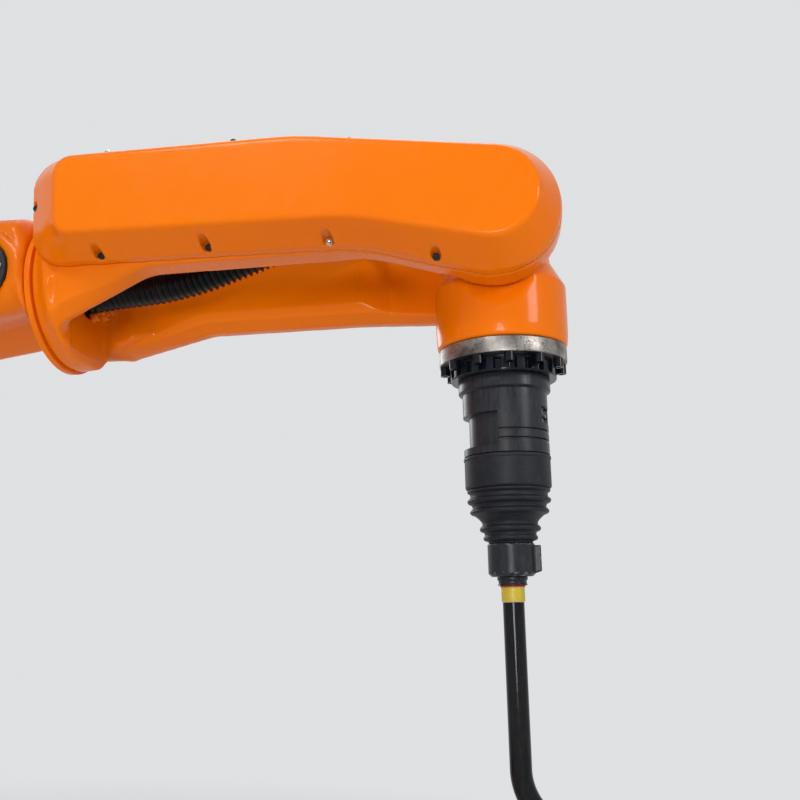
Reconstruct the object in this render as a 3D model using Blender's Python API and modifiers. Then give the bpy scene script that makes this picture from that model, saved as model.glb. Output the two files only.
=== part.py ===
"""Six-axis industrial robot arm: floor base, turret, gooseneck lower arm, elbow with a long
extension, forked hollow forearm with two side covers, and a plumb wrist that carries a slim torch.

Metres, +Z up, origin on the base swing axis at the underside of the base flange, arm along +X.
"""

from math import asin, atan2, cos, pi, radians, sin, sqrt

import bmesh
import bpy
from mathutils import Matrix, Vector

# Joint layout
SHOULDER_OUT = 0.155
SHOULDER_HEIGHT = 0.450
LOWER_ARM_LENGTH = 0.800
LOWER_ARM_LEAN = radians(18.0)
FOREARM_RISE = radians(4.0)
ROLL_AXIS_DROP = 0.035
ELBOW_TO_ROLL_JOINT = 0.5285
ROLL_JOINT_TO_WRIST = 0.4815
WRIST_LEAN = radians(1.1)
ARM_PLANE = 0.095

# Clearances between pieces that touch and at the turning joints
TOUCH = 0.0003
SEAM = 0.0008
CUT_OVERRUN = 0.004
WELD = 0.00001

# Base
BASE_FOOT_SIDE = 0.400
BASE_FOOT_CORNER = 0.045
BASE_FOOT_THICKNESS = 0.030
BASE_BOLT_SPACING = 0.330
BASE_BOLT_HOLE_RADIUS = 0.009
BASE_BODY_SIDE = 0.330
BASE_BODY_CORNER = 0.090
BASE_TOP_RADIUS = 0.158
BASE_HEIGHT = 0.205
PANEL_PAD_OUT = 0.178
PANEL_WIDTH = 0.170
PANEL_LOW = 0.050
PANEL_HIGH = 0.160
PANEL_DEPTH = 0.052
CONNECTOR_RADIUS = 0.026
CONNECTOR_SMALL_RADIUS = 0.019
CONNECTOR_LENGTH = 0.038
CONNECTOR_OFFSET = 0.042
CONNECTOR_GRIP_SHARE = 0.82

# Turret
TURRET_DISC_RADIUS = 0.165
TURRET_DISC_HEIGHT = 0.042
TURRET_HALF_FOOT = 0.130
TURRET_CORNER = 0.035
SHOULDER_RADIUS = 0.125
TURN_MOTOR_SIDE = 0.118
TURN_MOTOR_LENGTH = 0.150
TURN_MOTOR_BACK = 0.092
TURRET_DECK = 0.365
SHOULDER_MOTOR_SIDE = 0.130
SHOULDER_MOTOR_LENGTH = 0.170
MOTOR_FLANGE = 0.018
MOTOR_CAP = 0.045
MOTOR_CAP_INSET = 0.014
MOTOR_CORNER = 0.018

# Lower arm
LOWER_ARM_DEPTH = 0.095
LOWER_ARM_WALL = 0.024
LOWER_ARM_POCKET_DEPTH = 0.062
SHOULDER_HEAD_RADIUS = 0.122
ELBOW_HEAD_RADIUS = 0.108
NECK_RADIUS = 0.085
NECK_OUT = 0.048
NECK_DROP = 0.078
WAIST_RADIUS = 0.090
WAIST_OUT = 0.084
WAIST_DROP_SHARE = 0.43125
EAR_RADIUS = 0.028
EAR_BACK = 0.202
EAR_DROP_SHARE = 0.285
NOTCH_RADIUS = 0.042
NOTCH_BACK = 0.166
NOTCH_DROP = 0.125
BACK_RADIUS = 0.200
BACK_BACK = 0.024
BACK_DROP_SHARE = 0.400
SHOULDER_CAP_RADIUS = 0.078
SHOULDER_CAP_THICKNESS = 0.014

# Conduit down the lower arm. Its route is given in shares: back and down of the lower arm's
# length, and inwards from the fitting to the channel
CONDUIT_RADIUS = 0.0190
CONDUIT_BOSS_RADIUS = 0.036
CONDUIT_BOSS_LENGTH = 0.026
CONDUIT_BEND = 0.046
CONDUIT_SLANT = radians(26.6)
CONDUIT_OFF_FLOOR = 0.031
CONDUIT_CLAMP_WALL = 0.006
CONDUIT_CLAMP_LENGTH = 0.018
CONDUIT_CLAMP_FOOT = 0.058
CONDUIT_POINTS = 40
CONDUIT_SHARES = ((0.099, 0.24, 0.194), (0.144, 0.42, 0.244), (0.172, 0.73, 0.300),
                  (0.164, 1.00, 0.356), (0.147, 1.00, 0.420), (0.129, 1.00, 0.484),
                  (0.112, 1.00, 0.562), (0.090, 1.00, 0.638), (0.069, 1.00, 0.700))
UPPER_CLAMP_SHARE = 0.62
LOWER_CLAMP_SHARE = 0.97

# Elbow and its extension, measured from the elbow axis or the roll axis
ELBOW_BACK = 0.128
ELBOW_FRONT = 0.140
ELBOW_TOP = 0.095
ELBOW_BOTTOM = 0.098
ELBOW_CHAMFER_RADIUS = 0.045
ELBOW_FAR_SIDE = 0.100
ELBOW_MOTOR_SIDE = 0.112
ELBOW_MOTOR_LENGTH = 0.130
ROLL_MOTOR_SIDE = 0.098
ROLL_MOTOR_LENGTH = 0.120
ROLL_MOTOR_RISE = 0.012
EXTENSION_HALF_WIDTH = 0.085
EXTENSION_TOP_REAR = 0.104
EXTENSION_TOP_FRONT = 0.072
EXTENSION_BOTTOM_REAR = 0.064
EXTENSION_BOTTOM_FRONT = 0.076
EXTENSION_CORNER = 0.030
SIDE_PANEL_HALF_HEIGHT = 0.035
SIDE_PANEL_LENGTH = 0.358
SIDE_PANEL_RISE = 0.012
SIDE_PANEL_TO_FLANGE = 0.0165
SIDE_PANEL_THICKNESS = 0.006
SIDE_PANEL_SUNK = 0.003

# Roll joint flange and forked forearm, measured from the wrist axis along the roll axis
FLANGE_RADIUS = 0.083
FLANGE_THICKNESS = 0.0065
HOLLOW_RADIUS = 0.024
BELL_RADIUS = 0.080
BELL_LENGTH = 0.0250
BELL_SHARES = ((0.00, 0.00, 2.0), (0.35, 0.25, 2.2), (0.65, 0.65, 2.5), (0.85, 0.92, 2.8),
               (1.00, 1.00, 2.8))
BELL_LOW = 0.078
BELL_INSET = 0.0008
ARM_INTO_BELL = 0.0045
CHANNEL_BACK = 0.450
CHANNEL_BACK_NEAR = 0.045
CHANNEL_BACK_FAR = 0.034
CHANNEL_NEAR_CORNER = 0.026
CHANNEL_FAR_CORNER = 0.045
FORK_GAP = 0.0628
FORK_NEAR = 0.095
FORK_FAR = 0.103
FORK_END_RADIUS = 0.064
FAR_END_RADIUS = 0.054
FORK_TOP = 0.112
FORK_TOP_BEND_BACK = 0.215
FORK_TOP_BEND_RADIUS = 0.300
FORK_TOP_DROP = 0.011
FORK_BACK_CORNER = 0.034
FORK_WAIST_BACK = 0.175
FORK_WAIST_DROP = 0.019
FORK_WAIST_RADIUS = 0.220
FORK_TAIL_BACK = 0.340
FORK_TAIL_RADIUS = 0.060
FORK_TAIL_DROP = 0.0105
FORK_TAIL_LOW = 0.0505
FAR_EXTRA_DEPTH = 0.019
FAR_SHARES = ((0.00, -0.25), (0.20, 0.55), (0.62, 1.00), (1.00, 1.00))
NEAR_TAIL_LIFT = 0.030
NEAR_SHARES = ((0.00, 0.00), (0.35, 0.00), (0.75, 0.35), (1.00, 1.00))
RELIEF_START = 0.0645
RELIEF_END = 0.132
RELIEF_DEPTH = 0.0085
HUB_RADIUS = 0.036
HUB_GAP = 0.0005

# Side covers of the forearm
COVER_DEPTH = 0.047
COVER_ROUND = 0.005
COVER_BASE_BACK = 0.461
COVER_FACE_BACK = 0.416
COVER_FACE_RADIUS = 0.043
COVER_DRAFT = 0.020
COVER_FOOT = 0.010
COVER_FACE_LOW = 0.013
COVER_BASE_LOW = 0.002
COVER_FACE_CORNER = 0.016

# Hose in the forearm. Its route is given in shares: back from the wrist of the distance to the
# roll joint, and up of the rise to the bracket
HOSE_RADIUS = 0.020
HOSE_RISE = 0.042
HOSE_POINTS = 24
HOSE_SHARES = ((0.972, 0.00), (0.872, 0.07), (0.800, 0.07), (0.727, 0.12), (0.654, 0.26),
               (0.581, 0.48), (0.499, 0.74), (0.415, 0.93), (0.342, 1.00), (0.295, 1.00),
               (0.260, 1.00))
BRACKET_BACK = 0.142
BRACKET_THICKNESS = 0.012
BRACKET_HALF_HEIGHT = 0.034

# Wrist, measured from the wrist axis down the flange axis
WRIST_RADIUS = 0.0666
WRIST_SHOULDER_DROP = 0.050
WRIST_TAPER_RADIUS = 0.048
WRIST_TAPER_DROP = 0.014
WRIST_BARREL_RADIUS = 0.050
WRIST_HALF_WIDTH = 0.0575
WRIST_FLAT_DROP = 0.056
WRIST_FLAT_END_DROP = 0.081
RING_TOP = 0.1120
RING_RADIUS = 0.0640
RING_HEIGHT = 0.0155

# Tool train under the ring
ADAPTER_RADIUS = 0.0530
ADAPTER_HEIGHT = 0.0150
ADAPTER_SLOTS = 16
ADAPTER_SLOT_WIDTH = 0.0070
ADAPTER_SLOT_DEPTH = 0.0050
BAND_RADIUS = 0.0455
BAND_HEIGHT = 0.0140
BODY_RADIUS = 0.0420
BODY_HEIGHT = 0.0620
BODY_GROOVE_DEPTH = 0.0022
BODY_GROOVE_WIDTH = 0.0026
BODY_GROOVE_DROP = 0.0390
BODY_GROOVE_PITCH = 0.0090
SLEEVE_RADIUS = 0.0428
SLEEVE_HEIGHT = 0.0320
BELLOWS_TOP_RADIUS = 0.0410
BELLOWS_LOW_RADIUS = 0.0265
BELLOWS_NECK_RADIUS = 0.0213
BELLOWS_HEIGHT = 0.0520
COLLAR_RADIUS = 0.0228
COLLAR_HEIGHT = 0.0310
COLLAR_BEVEL = 0.0030
COLLAR_LUG_OUT = 0.0285
COLLAR_LUG_HALF = 0.0075
COLLAR_SLOT = 0.0024
FERRULE_RADIUS = 0.0146
FERRULE_HEIGHT = 0.0080
LABEL_RADIUS = 0.0112
LABEL_HEIGHT = 0.0150
TUBE_RADIUS = 0.0103
TUBE_STRAIGHT = 0.150
TUBE_BEND_RADIUS = 0.055
TUBE_BEND = radians(35.0)
TUBE_END = 0.022
NOZZLE_RADIUS = 0.0130
NOZZLE_MOUTH_RADIUS = 0.0100
NOZZLE_BORE = 0.0075
NOZZLE_LENGTH = 0.068
NOZZLE_BORE_DEPTH = 0.030
TIP_RADIUS = 0.0040
TIP_OUT = 0.004

# Facets
ROUND_STEPS = 48
SMALL_STEPS = 24
ARC_STEPS = 9
TUBE_SIDES = 2

# Colours, roughness and metallic value
ORANGE = ((0.87, 0.22, 0.006), 0.32, 0.0)
BLACK_METAL = ((0.025, 0.028, 0.035), 0.38, 0.6)
BLACK_PLASTIC = ((0.02, 0.02, 0.022), 0.55, 0.0)
RUBBER = ((0.018, 0.018, 0.02), 0.75, 0.0)
STEEL = ((0.55, 0.54, 0.52), 0.35, 1.0)
YELLOW = ((0.85, 0.70, 0.03), 0.45, 0.0)
COPPER = ((0.62, 0.30, 0.17), 0.35, 1.0)

ALONG_Y = Matrix.Rotation(radians(90.0), 4, "X")
ALONG_X = Matrix.Rotation(radians(90.0), 4, "Y")


def empty_scene():
    """Remove what the file holds and make the two collections."""
    for thing in list(bpy.data.objects):
        bpy.data.objects.remove(thing)
    made = []
    for name in ("robot_arm", "robot_arm_cutters"):
        group = bpy.data.collections.new(name)
        bpy.context.scene.collection.children.link(group)
        made.append(group)
    return made


PARTS, CUTTERS = empty_scene()


def paint(name, look):
    """A Principled material with a colour, a roughness and a metallic value."""
    colour, roughness, metallic = look
    material = bpy.data.materials.new(name)
    material.use_nodes = True
    shader = material.node_tree.nodes["Principled BSDF"]
    shader.inputs["Base Color"].default_value = (*colour, 1.0)
    shader.inputs["Roughness"].default_value = roughness
    shader.inputs["Metallic"].default_value = metallic
    material.diffuse_color = (*colour, 1.0)
    return material


def axis_frame(name, place, turn=0.0, parent=None):
    """An empty on a joint axis, turned about Y, that its body's pieces hang from."""
    frame = bpy.data.objects.new(name, None)
    frame.empty_display_size = CONNECTOR_LENGTH
    frame.location = place
    frame.rotation_euler = (0.0, turn, 0.0)
    frame.parent = parent
    PARTS.objects.link(frame)
    return frame


def evaluated_mesh(thing):
    """The mesh of an object with its modifiers or its bevel, its caps welded."""
    bpy.context.view_layer.update()
    graph = bpy.context.evaluated_depsgraph_get()
    mesh = bpy.data.meshes.new_from_object(thing.evaluated_get(graph))
    bpy.data.objects.remove(thing)
    weld = bmesh.new()
    weld.from_mesh(mesh)
    bmesh.ops.remove_doubles(weld, verts=weld.verts, dist=WELD)
    weld.to_mesh(mesh)
    weld.free()
    return mesh


def loose(data):
    """A short-lived object around a mesh or a curve."""
    thing = bpy.data.objects.new("loose", data)
    CUTTERS.objects.link(thing)
    return thing


def piece(name, mesh, frame, look, smooth=True):
    """A named part under its joint's empty."""
    mesh.name = name
    mesh.materials.clear()
    mesh.materials.append(paint(name, look))
    thing = bpy.data.objects.new(name, mesh)
    thing.parent = frame
    PARTS.objects.link(thing)
    if smooth:
        mesh.shade_smooth()
        mesh.set_sharp_from_angle(angle=radians(35.0))
    return thing


def shape(thing, mesh, operation):
    """Join a mesh to a part, or cut it out of the part, in the part's own frame."""
    cutter = bpy.data.objects.new(thing.name + "_" + operation.lower(), mesh)
    cutter.parent = thing.parent
    cutter.display_type = "WIRE"
    cutter.hide_render = True
    CUTTERS.objects.link(cutter)
    change = thing.modifiers.new(cutter.name, "BOOLEAN")
    change.operation = operation
    change.solver = "EXACT"
    change.object = cutter


def join(thing, mesh):
    shape(thing, mesh, "UNION")


def cut(thing, mesh):
    shape(thing, mesh, "DIFFERENCE")


def moved(mesh, place=(0.0, 0.0, 0.0), turn=None):
    """The same mesh turned, then moved."""
    matrix = Matrix.Translation(place)
    if turn is not None:
        matrix = matrix @ turn
    mesh.transform(matrix)
    return mesh


def box(low, high):
    """A box between two corners."""
    form = bmesh.new()
    bmesh.ops.create_cube(form, size=1.0)
    size = [b - a for a, b in zip(low, high)]
    middle = [(a + b) / 2.0 for a, b in zip(low, high)]
    bmesh.ops.scale(form, vec=size, verts=form.verts)
    bmesh.ops.translate(form, vec=middle, verts=form.verts)
    mesh = bpy.data.meshes.new("box")
    form.to_mesh(mesh)
    form.free()
    return mesh


def rod(radius, low, high, steps=ROUND_STEPS, end_radius=None):
    """A cylinder or cone along Z from low to high."""
    form = bmesh.new()
    top = radius if end_radius is None else end_radius
    bmesh.ops.create_cone(form, cap_ends=True, segments=steps, radius1=radius, radius2=top,
                          depth=high - low)
    bmesh.ops.translate(form, vec=(0.0, 0.0, (low + high) / 2.0), verts=form.verts)
    mesh = bpy.data.meshes.new("rod")
    form.to_mesh(mesh)
    form.free()
    return mesh


def turned(profile, steps=ROUND_STEPS):
    """A profile of (radius, height) pairs, top to bottom, turned about Z."""
    mesh = bpy.data.meshes.new("turned")
    points = [(radius, 0.0, height) for radius, height in profile]
    mesh.from_pydata(points, [(i, i + 1) for i in range(len(points) - 1)], [])
    thing = loose(mesh)
    screw = thing.modifiers.new("turn", "SCREW")
    screw.steps = steps
    screw.render_steps = steps
    screw.use_merge_vertices = True
    screw.merge_threshold = WELD
    screw.use_normal_calculate = False
    return evaluated_mesh(thing)


def hollow_turned(profile, steps=ROUND_STEPS):
    """A closed profile, outer side top to bottom and back up the bore, turned about Z."""
    return turned(profile + profile[:1], steps)


def slab(outline, low, high, turn=ALONG_Y):
    """A flat outline made solid between two heights, by default along Y with Z up."""
    curve = bpy.data.curves.new("outline", "CURVE")
    curve.dimensions = "2D"
    curve.fill_mode = "BOTH"
    curve.extrude = (high - low) / 2.0
    spline = curve.splines.new("POLY")
    spline.points.add(len(outline) - 1)
    spline.points.foreach_set("co", [c for u, v in outline for c in (u, v, 0.0, 1.0)])
    spline.use_cyclic_u = True
    mesh = evaluated_mesh(loose(curve))
    middle = (low + high) / 2.0
    if turn is ALONG_Y:
        return moved(mesh, (0.0, middle, 0.0), turn)
    if turn is ALONG_X:
        return moved(mesh, (middle, 0.0, 0.0), turn)
    return moved(mesh, (0.0, 0.0, middle))


def tube(points, radius, sides=TUBE_SIDES):
    """A round tube through points, with filled caps."""
    curve = bpy.data.curves.new("tube", "CURVE")
    curve.dimensions = "3D"
    curve.bevel_depth = radius
    curve.bevel_resolution = sides
    curve.use_fill_caps = True
    curve.render_resolution_u = 0
    spline = curve.splines.new("POLY")
    spline.points.add(len(points) - 1)
    spline.points.foreach_set("co", [c for point in points for c in (*point, 1.0)])
    return evaluated_mesh(loose(curve))


def loft(rings):
    """A closed skin over rings of equal count, the first and last one capped."""
    form = bmesh.new()
    rows = [[form.verts.new(point) for point in ring] for ring in rings]
    count = len(rows[0])
    for lower, upper in zip(rows, rows[1:]):
        for i in range(count):
            j = (i + 1) % count
            form.faces.new((lower[i], lower[j], upper[j], upper[i]))
    form.faces.new(rows[0])
    form.faces.new(rows[-1])
    bmesh.ops.triangulate(form, faces=form.faces)
    bmesh.ops.recalc_face_normals(form, faces=form.faces)
    mesh = bpy.data.meshes.new("loft")
    form.to_mesh(mesh)
    form.free()
    return mesh


def belt(circles, steps=ARC_STEPS):
    """The outline of a belt run counter-clockwise round circles (u, v, radius, side).

    Side 1 is a circle inside the belt, and side -1 one that presses it in from outside.
    """
    touches = []
    for (u0, v0, r0, s0), (u1, v1, r1, s1) in zip(circles, circles[1:] + circles[:1]):
        length = sqrt((u1 - u0) ** 2 + (v1 - v0) ** 2)
        along = ((u1 - u0) / length, (v1 - v0) / length)
        lift = asin((s0 * r0 - s1 * r1) / length)
        normal_u = sin(lift) * along[0] + cos(lift) * along[1]
        normal_v = sin(lift) * along[1] - cos(lift) * along[0]
        touches.append(atan2(normal_v, normal_u))
    outline = []
    for i, (u, v, radius, side) in enumerate(circles):
        start = touches[i - 1]
        sweep = (touches[i] - start) * side % (2.0 * pi) * side
        for step in range(steps + 1):
            angle = start + sweep * step / steps
            outline.append((u + side * radius * cos(angle), v + side * radius * sin(angle)))
    return outline


def rounded_box(low, high, corner):
    """Belt circles of a rectangle with round corners."""
    (u0, v0), (u1, v1) = low, high
    return [(u1 - corner, v0 + corner, corner, 1), (u1 - corner, v1 - corner, corner, 1),
            (u0 + corner, v1 - corner, corner, 1), (u0 + corner, v0 + corner, corner, 1)]


def smooth_route(points, count):
    """Points at even steps on a smooth curve through the route's own points."""
    knots = [Vector(point) for point in points]
    knots = [knots[0] * 2.0 - knots[1]] + knots + [knots[-1] * 2.0 - knots[-2]]
    dense = []
    for a, b, c, d in zip(knots, knots[1:], knots[2:], knots[3:]):
        for step in range(12):
            t = step / 12.0
            dense.append(0.5 * (2.0 * b + (c - a) * t + (2.0 * a - 5.0 * b + 4.0 * c - d) * t * t
                                + (3.0 * b - a - 3.0 * c + d) * t ** 3))
    dense.append(knots[-2])
    lengths = [0.0]
    for a, b in zip(dense, dense[1:]):
        lengths.append(lengths[-1] + (b - a).length)
    route = []
    k = 0
    for i in range(count):
        goal = lengths[-1] * i / (count - 1)
        while k < len(dense) - 2 and lengths[k + 1] < goal:
            k += 1
        share = (goal - lengths[k]) / (lengths[k + 1] - lengths[k])
        route.append(dense[k].lerp(dense[k + 1], share))
    return route


def servo_motor(name, frame, side, length, place, turn):
    """A motor on its flange: a square body along Z with a stepped cap at its far end."""
    half = side / 2.0
    body = slab(belt(rounded_box((-half, -half), (half, half), MOTOR_CORNER)), 0.0,
                length - MOTOR_CAP, turn=None)
    motor = piece(name, moved(body, place, turn), frame, BLACK_METAL)
    inner = half - MOTOR_CAP_INSET
    cap = slab(belt(rounded_box((-inner, -inner), (inner, inner), MOTOR_CORNER)),
               length - MOTOR_CAP - MOTOR_FLANGE, length, turn=None)
    join(motor, moved(cap, place, turn))
    plate = slab(belt(rounded_box((-half, -half), (half, half), MOTOR_CAP_INSET)), 0.0,
                 MOTOR_FLANGE, turn=None)
    plate.transform(Matrix.Scale((side + MOTOR_FLANGE) / side, 4, (1.0, 0.0, 0.0)))
    plate.transform(Matrix.Scale((side + MOTOR_FLANGE) / side, 4, (0.0, 1.0, 0.0)))
    join(motor, moved(plate, place, turn))
    return motor


# Joint frames, each hanging from the one before
base_axis = axis_frame("base_axis", (0.0, 0.0, 0.0))
turret_axis = axis_frame("turret_axis", (0.0, 0.0, 0.0), 0.0, base_axis)
shoulder_axis = axis_frame("shoulder_axis", (SHOULDER_OUT, 0.0, SHOULDER_HEIGHT),
                           LOWER_ARM_LEAN, turret_axis)
elbow_axis = axis_frame("elbow_axis", (0.0, 0.0, LOWER_ARM_LENGTH),
                        -LOWER_ARM_LEAN - FOREARM_RISE, shoulder_axis)
roll_axis = axis_frame("roll_axis", (ELBOW_TO_ROLL_JOINT + ROLL_JOINT_TO_WRIST, 0.0,
                                     -ROLL_AXIS_DROP), 0.0, elbow_axis)
wrist_axis = axis_frame("wrist_axis", (0.0, 0.0, 0.0), FOREARM_RISE - WRIST_LEAN, roll_axis)
tool_axis = axis_frame("tool_axis", (0.0, 0.0, 0.0), 0.0, wrist_axis)


def build_base():
    """Square foot with bolt holes, a body that narrows to a round top, and the cable panel."""
    half = BASE_FOOT_SIDE / 2.0
    foot = slab(belt(rounded_box((-half, -half), (half, half), BASE_FOOT_CORNER)), 0.0,
                BASE_FOOT_THICKNESS, turn=None)
    base = piece("base_casting", foot, base_axis, ORANGE)
    side = BASE_BODY_SIDE / 2.0
    square = belt(rounded_box((-side, -side), (side, side), BASE_BODY_CORNER))
    low = [(u, v, BASE_FOOT_THICKNESS / 2.0) for u, v in square]
    waist_height = BASE_HEIGHT - BASE_FOOT_THICKNESS
    top = []
    for u, v in square:
        angle = atan2(v, u)
        top.append((BASE_TOP_RADIUS * cos(angle), BASE_TOP_RADIUS * sin(angle)))
    rim = [(u, v, waist_height) for u, v in top]
    lid = [(u, v, BASE_HEIGHT) for u, v in top]
    join(base, loft([low, rim, lid]))
    wide = PANEL_WIDTH / 2.0
    join(base, box((-PANEL_PAD_OUT, -wide, PANEL_LOW), (0.0, wide, PANEL_HIGH)))
    for u in (-1.0, 1.0):
        for v in (-1.0, 1.0):
            reach = BASE_BOLT_SPACING / 2.0
            hole = rod(BASE_BOLT_HOLE_RADIUS, -CUT_OVERRUN, BASE_FOOT_THICKNESS + CUT_OVERRUN,
                       SMALL_STEPS)
            cut(base, moved(hole, (u * reach, v * reach, 0.0)))
    inset = MOTOR_CAP_INSET
    back = -PANEL_PAD_OUT - TOUCH
    low_corner = (-wide + inset, PANEL_LOW + inset)
    high_corner = (wide - inset, PANEL_HIGH - inset)
    outline = belt(rounded_box(low_corner, high_corner, MOTOR_CAP_INSET))
    outline = [(-v, u) for u, v in outline]
    panel = slab(outline, back - PANEL_DEPTH, back, turn=ALONG_X)
    piece("connector_panel", panel, base_axis, ORANGE)
    middle = (PANEL_LOW + PANEL_HIGH) / 2.0
    for name, offset, radius in (("power_connector", -CONNECTOR_OFFSET, CONNECTOR_RADIUS),
                                 ("signal_connector", CONNECTOR_OFFSET, CONNECTOR_SMALL_RADIUS)):
        grip = radius * CONNECTOR_GRIP_SHARE
        step = CONNECTOR_LENGTH / 2.0
        profile = [(0.0, CONNECTOR_LENGTH), (grip, CONNECTOR_LENGTH), (grip, step),
                   (radius, step), (radius, 0.0), (0.0, 0.0)]
        plug = moved(turned(profile, SMALL_STEPS), turn=Matrix.Rotation(-pi / 2.0, 4, "Y"))
        place = (back - PANEL_DEPTH - TOUCH, offset, middle)
        piece(name, moved(plug, place), base_axis, BLACK_METAL)


def build_turret():
    """Turning disc, shoulder housing with a rear deck, and its two motors."""
    foot = BASE_HEIGHT + SEAM
    disc = rod(TURRET_DISC_RADIUS, foot, foot + TURRET_DISC_HEIGHT)
    turret = piece("turret_casting", disc, turret_axis, ORANGE)
    low = foot + TURRET_DISC_HEIGHT / 2.0 + TURRET_CORNER
    circles = [(TURRET_HALF_FOOT - TURRET_CORNER, low, TURRET_CORNER, 1),
               (SHOULDER_OUT, SHOULDER_HEIGHT, SHOULDER_RADIUS, 1),
               (SHOULDER_OUT - SHOULDER_RADIUS - TURRET_CORNER,
                TURRET_DECK + TURRET_CORNER / 2.0, TURRET_CORNER / 2.0, -1),
               (TURRET_CORNER - TURRET_HALF_FOOT - TURRET_CORNER / 2.0,
                TURRET_DECK - TURRET_CORNER, TURRET_CORNER, 1),
               (TURRET_CORNER - TURRET_HALF_FOOT, low, TURRET_CORNER, 1)]
    join(turret, slab(belt(circles), -ARM_PLANE, ARM_PLANE))
    deck = TURN_MOTOR_SIDE / 2.0 + MOTOR_FLANGE
    join(turret, box((-TURN_MOTOR_BACK - deck, -deck, TURRET_DECK - TURRET_CORNER),
                     (0.0, deck, TURRET_DECK + TOUCH)))
    servo_motor("turn_motor", turret_axis, TURN_MOTOR_SIDE, TURN_MOTOR_LENGTH,
                (-TURN_MOTOR_BACK, 0.0, TURRET_DECK + TOUCH + TOUCH), None)
    servo_motor("shoulder_motor", turret_axis, SHOULDER_MOTOR_SIDE, SHOULDER_MOTOR_LENGTH,
                (SHOULDER_OUT, ARM_PLANE + TOUCH, SHOULDER_HEIGHT),
                Matrix.Rotation(-pi / 2.0, 4, "X"))


def lower_arm_circles(inset=0.0):
    """Belt circles of the gooseneck, in the plane of the lower arm, drawn in by an inset."""
    top = LOWER_ARM_LENGTH
    return [(0.0, 0.0, SHOULDER_HEAD_RADIUS - inset, 1),
            (WAIST_OUT, top * (1.0 - WAIST_DROP_SHARE), WAIST_RADIUS + inset, -1),
            (NECK_OUT, top - NECK_DROP, NECK_RADIUS - inset, 1),
            (0.0, top, ELBOW_HEAD_RADIUS - inset, 1),
            (-NOTCH_BACK, top - NOTCH_DROP, NOTCH_RADIUS + inset, -1),
            (-EAR_BACK, top * (1.0 - EAR_DROP_SHARE), EAR_RADIUS - inset, 1),
            (-BACK_BACK, top * (1.0 - BACK_DROP_SHARE), BACK_RADIUS - inset, 1)]


def build_lower_arm():
    """Gooseneck casting with a deep channel on its near side, and the shoulder cap."""
    inner = -ARM_PLANE - SEAM
    outer = inner - LOWER_ARM_DEPTH
    arm = piece("lower_arm_casting", slab(belt(lower_arm_circles()), outer, inner),
                shoulder_axis, ORANGE)
    top = LOWER_ARM_LENGTH
    wall = LOWER_ARM_WALL
    corner = SHOULDER_CAP_RADIUS / 2.0
    foot = SHOULDER_HEAD_RADIUS + SHOULDER_CAP_RADIUS
    ear = top * (1.0 - EAR_DROP_SHARE)
    channel = [(-corner * 2.5, foot, corner, 1),
               (0.0, foot, corner, 1),
               (WAIST_OUT, top * (1.0 - WAIST_DROP_SHARE), WAIST_RADIUS + wall, -1),
               (-EAR_BACK / 3.0, ear + EAR_RADIUS, EAR_RADIUS, 1),
               (-EAR_BACK + wall + EAR_RADIUS / 4.0, ear, EAR_RADIUS, 1),
               (-BACK_BACK, top * (1.0 - BACK_DROP_SHARE), BACK_RADIUS - wall, 1)]
    cut(arm, slab(belt(channel), outer - CUT_OVERRUN, outer + LOWER_ARM_POCKET_DEPTH))
    cap = [(0.0, SHOULDER_CAP_THICKNESS), (SHOULDER_CAP_RADIUS - TOUCH - COLLAR_BEVEL,
                                          SHOULDER_CAP_THICKNESS),
           (SHOULDER_CAP_RADIUS, SHOULDER_CAP_THICKNESS - COLLAR_BEVEL),
           (SHOULDER_CAP_RADIUS, 0.0), (0.0, 0.0)]
    disc = moved(turned(cap), (0.0, outer - TOUCH, 0.0), ALONG_Y)
    piece("shoulder_cap", disc, shoulder_axis, ORANGE)
    build_conduit(outer)


def build_conduit(outer):
    """Hollow elbow fitting on the elbow axis and the conduit that runs from it into the channel."""
    top = LOWER_ARM_LENGTH
    down = Vector((-sin(CONDUIT_SLANT), 0.0, -cos(CONDUIT_SLANT)))
    mouth = outer - TOUCH - CONDUIT_BOSS_LENGTH
    bend = [(0.0, outer - TOUCH - CONDUIT_BOSS_LENGTH / 2.0, top)]
    for step in range(ARC_STEPS + 1):
        angle = pi / 2.0 * step / ARC_STEPS
        point = Vector((0.0, mouth - CONDUIT_BEND * sin(angle), top))
        bend.append(point + down * CONDUIT_BEND * (1.0 - cos(angle)))
    bend.append(bend[-1] + down * CONDUIT_RADIUS)
    boss = moved(rod(CONDUIT_BOSS_RADIUS, 0.0, CONDUIT_BOSS_LENGTH, SMALL_STEPS),
                 (0.0, outer - TOUCH, top), ALONG_Y)
    fitting = piece("conduit_elbow", boss, shoulder_axis, BLACK_PLASTIC)
    join(fitting, tube(bend, CONDUIT_RADIUS + CONDUIT_CLAMP_WALL / 2.0))
    start = bend[-1] + down * TOUCH
    floor = outer + LOWER_ARM_POCKET_DEPTH
    deep = floor - CONDUIT_OFF_FLOOR
    points = [start, start + down * CONDUIT_RADIUS, start + down * CONDUIT_BEND]
    for back, inward, fall in CONDUIT_SHARES:
        points.append((-LOWER_ARM_LENGTH * back, start.y + (deep - start.y) * inward,
                       top - LOWER_ARM_LENGTH * fall))
    route = smooth_route(points, CONDUIT_POINTS)
    piece("conduit", tube(route, CONDUIT_RADIUS), shoulder_axis, RUBBER)
    conduit_clamp("conduit_clamp_upper", route, UPPER_CLAMP_SHARE, floor)
    conduit_clamp("conduit_clamp_lower", route, LOWER_CLAMP_SHARE, floor)


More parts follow.
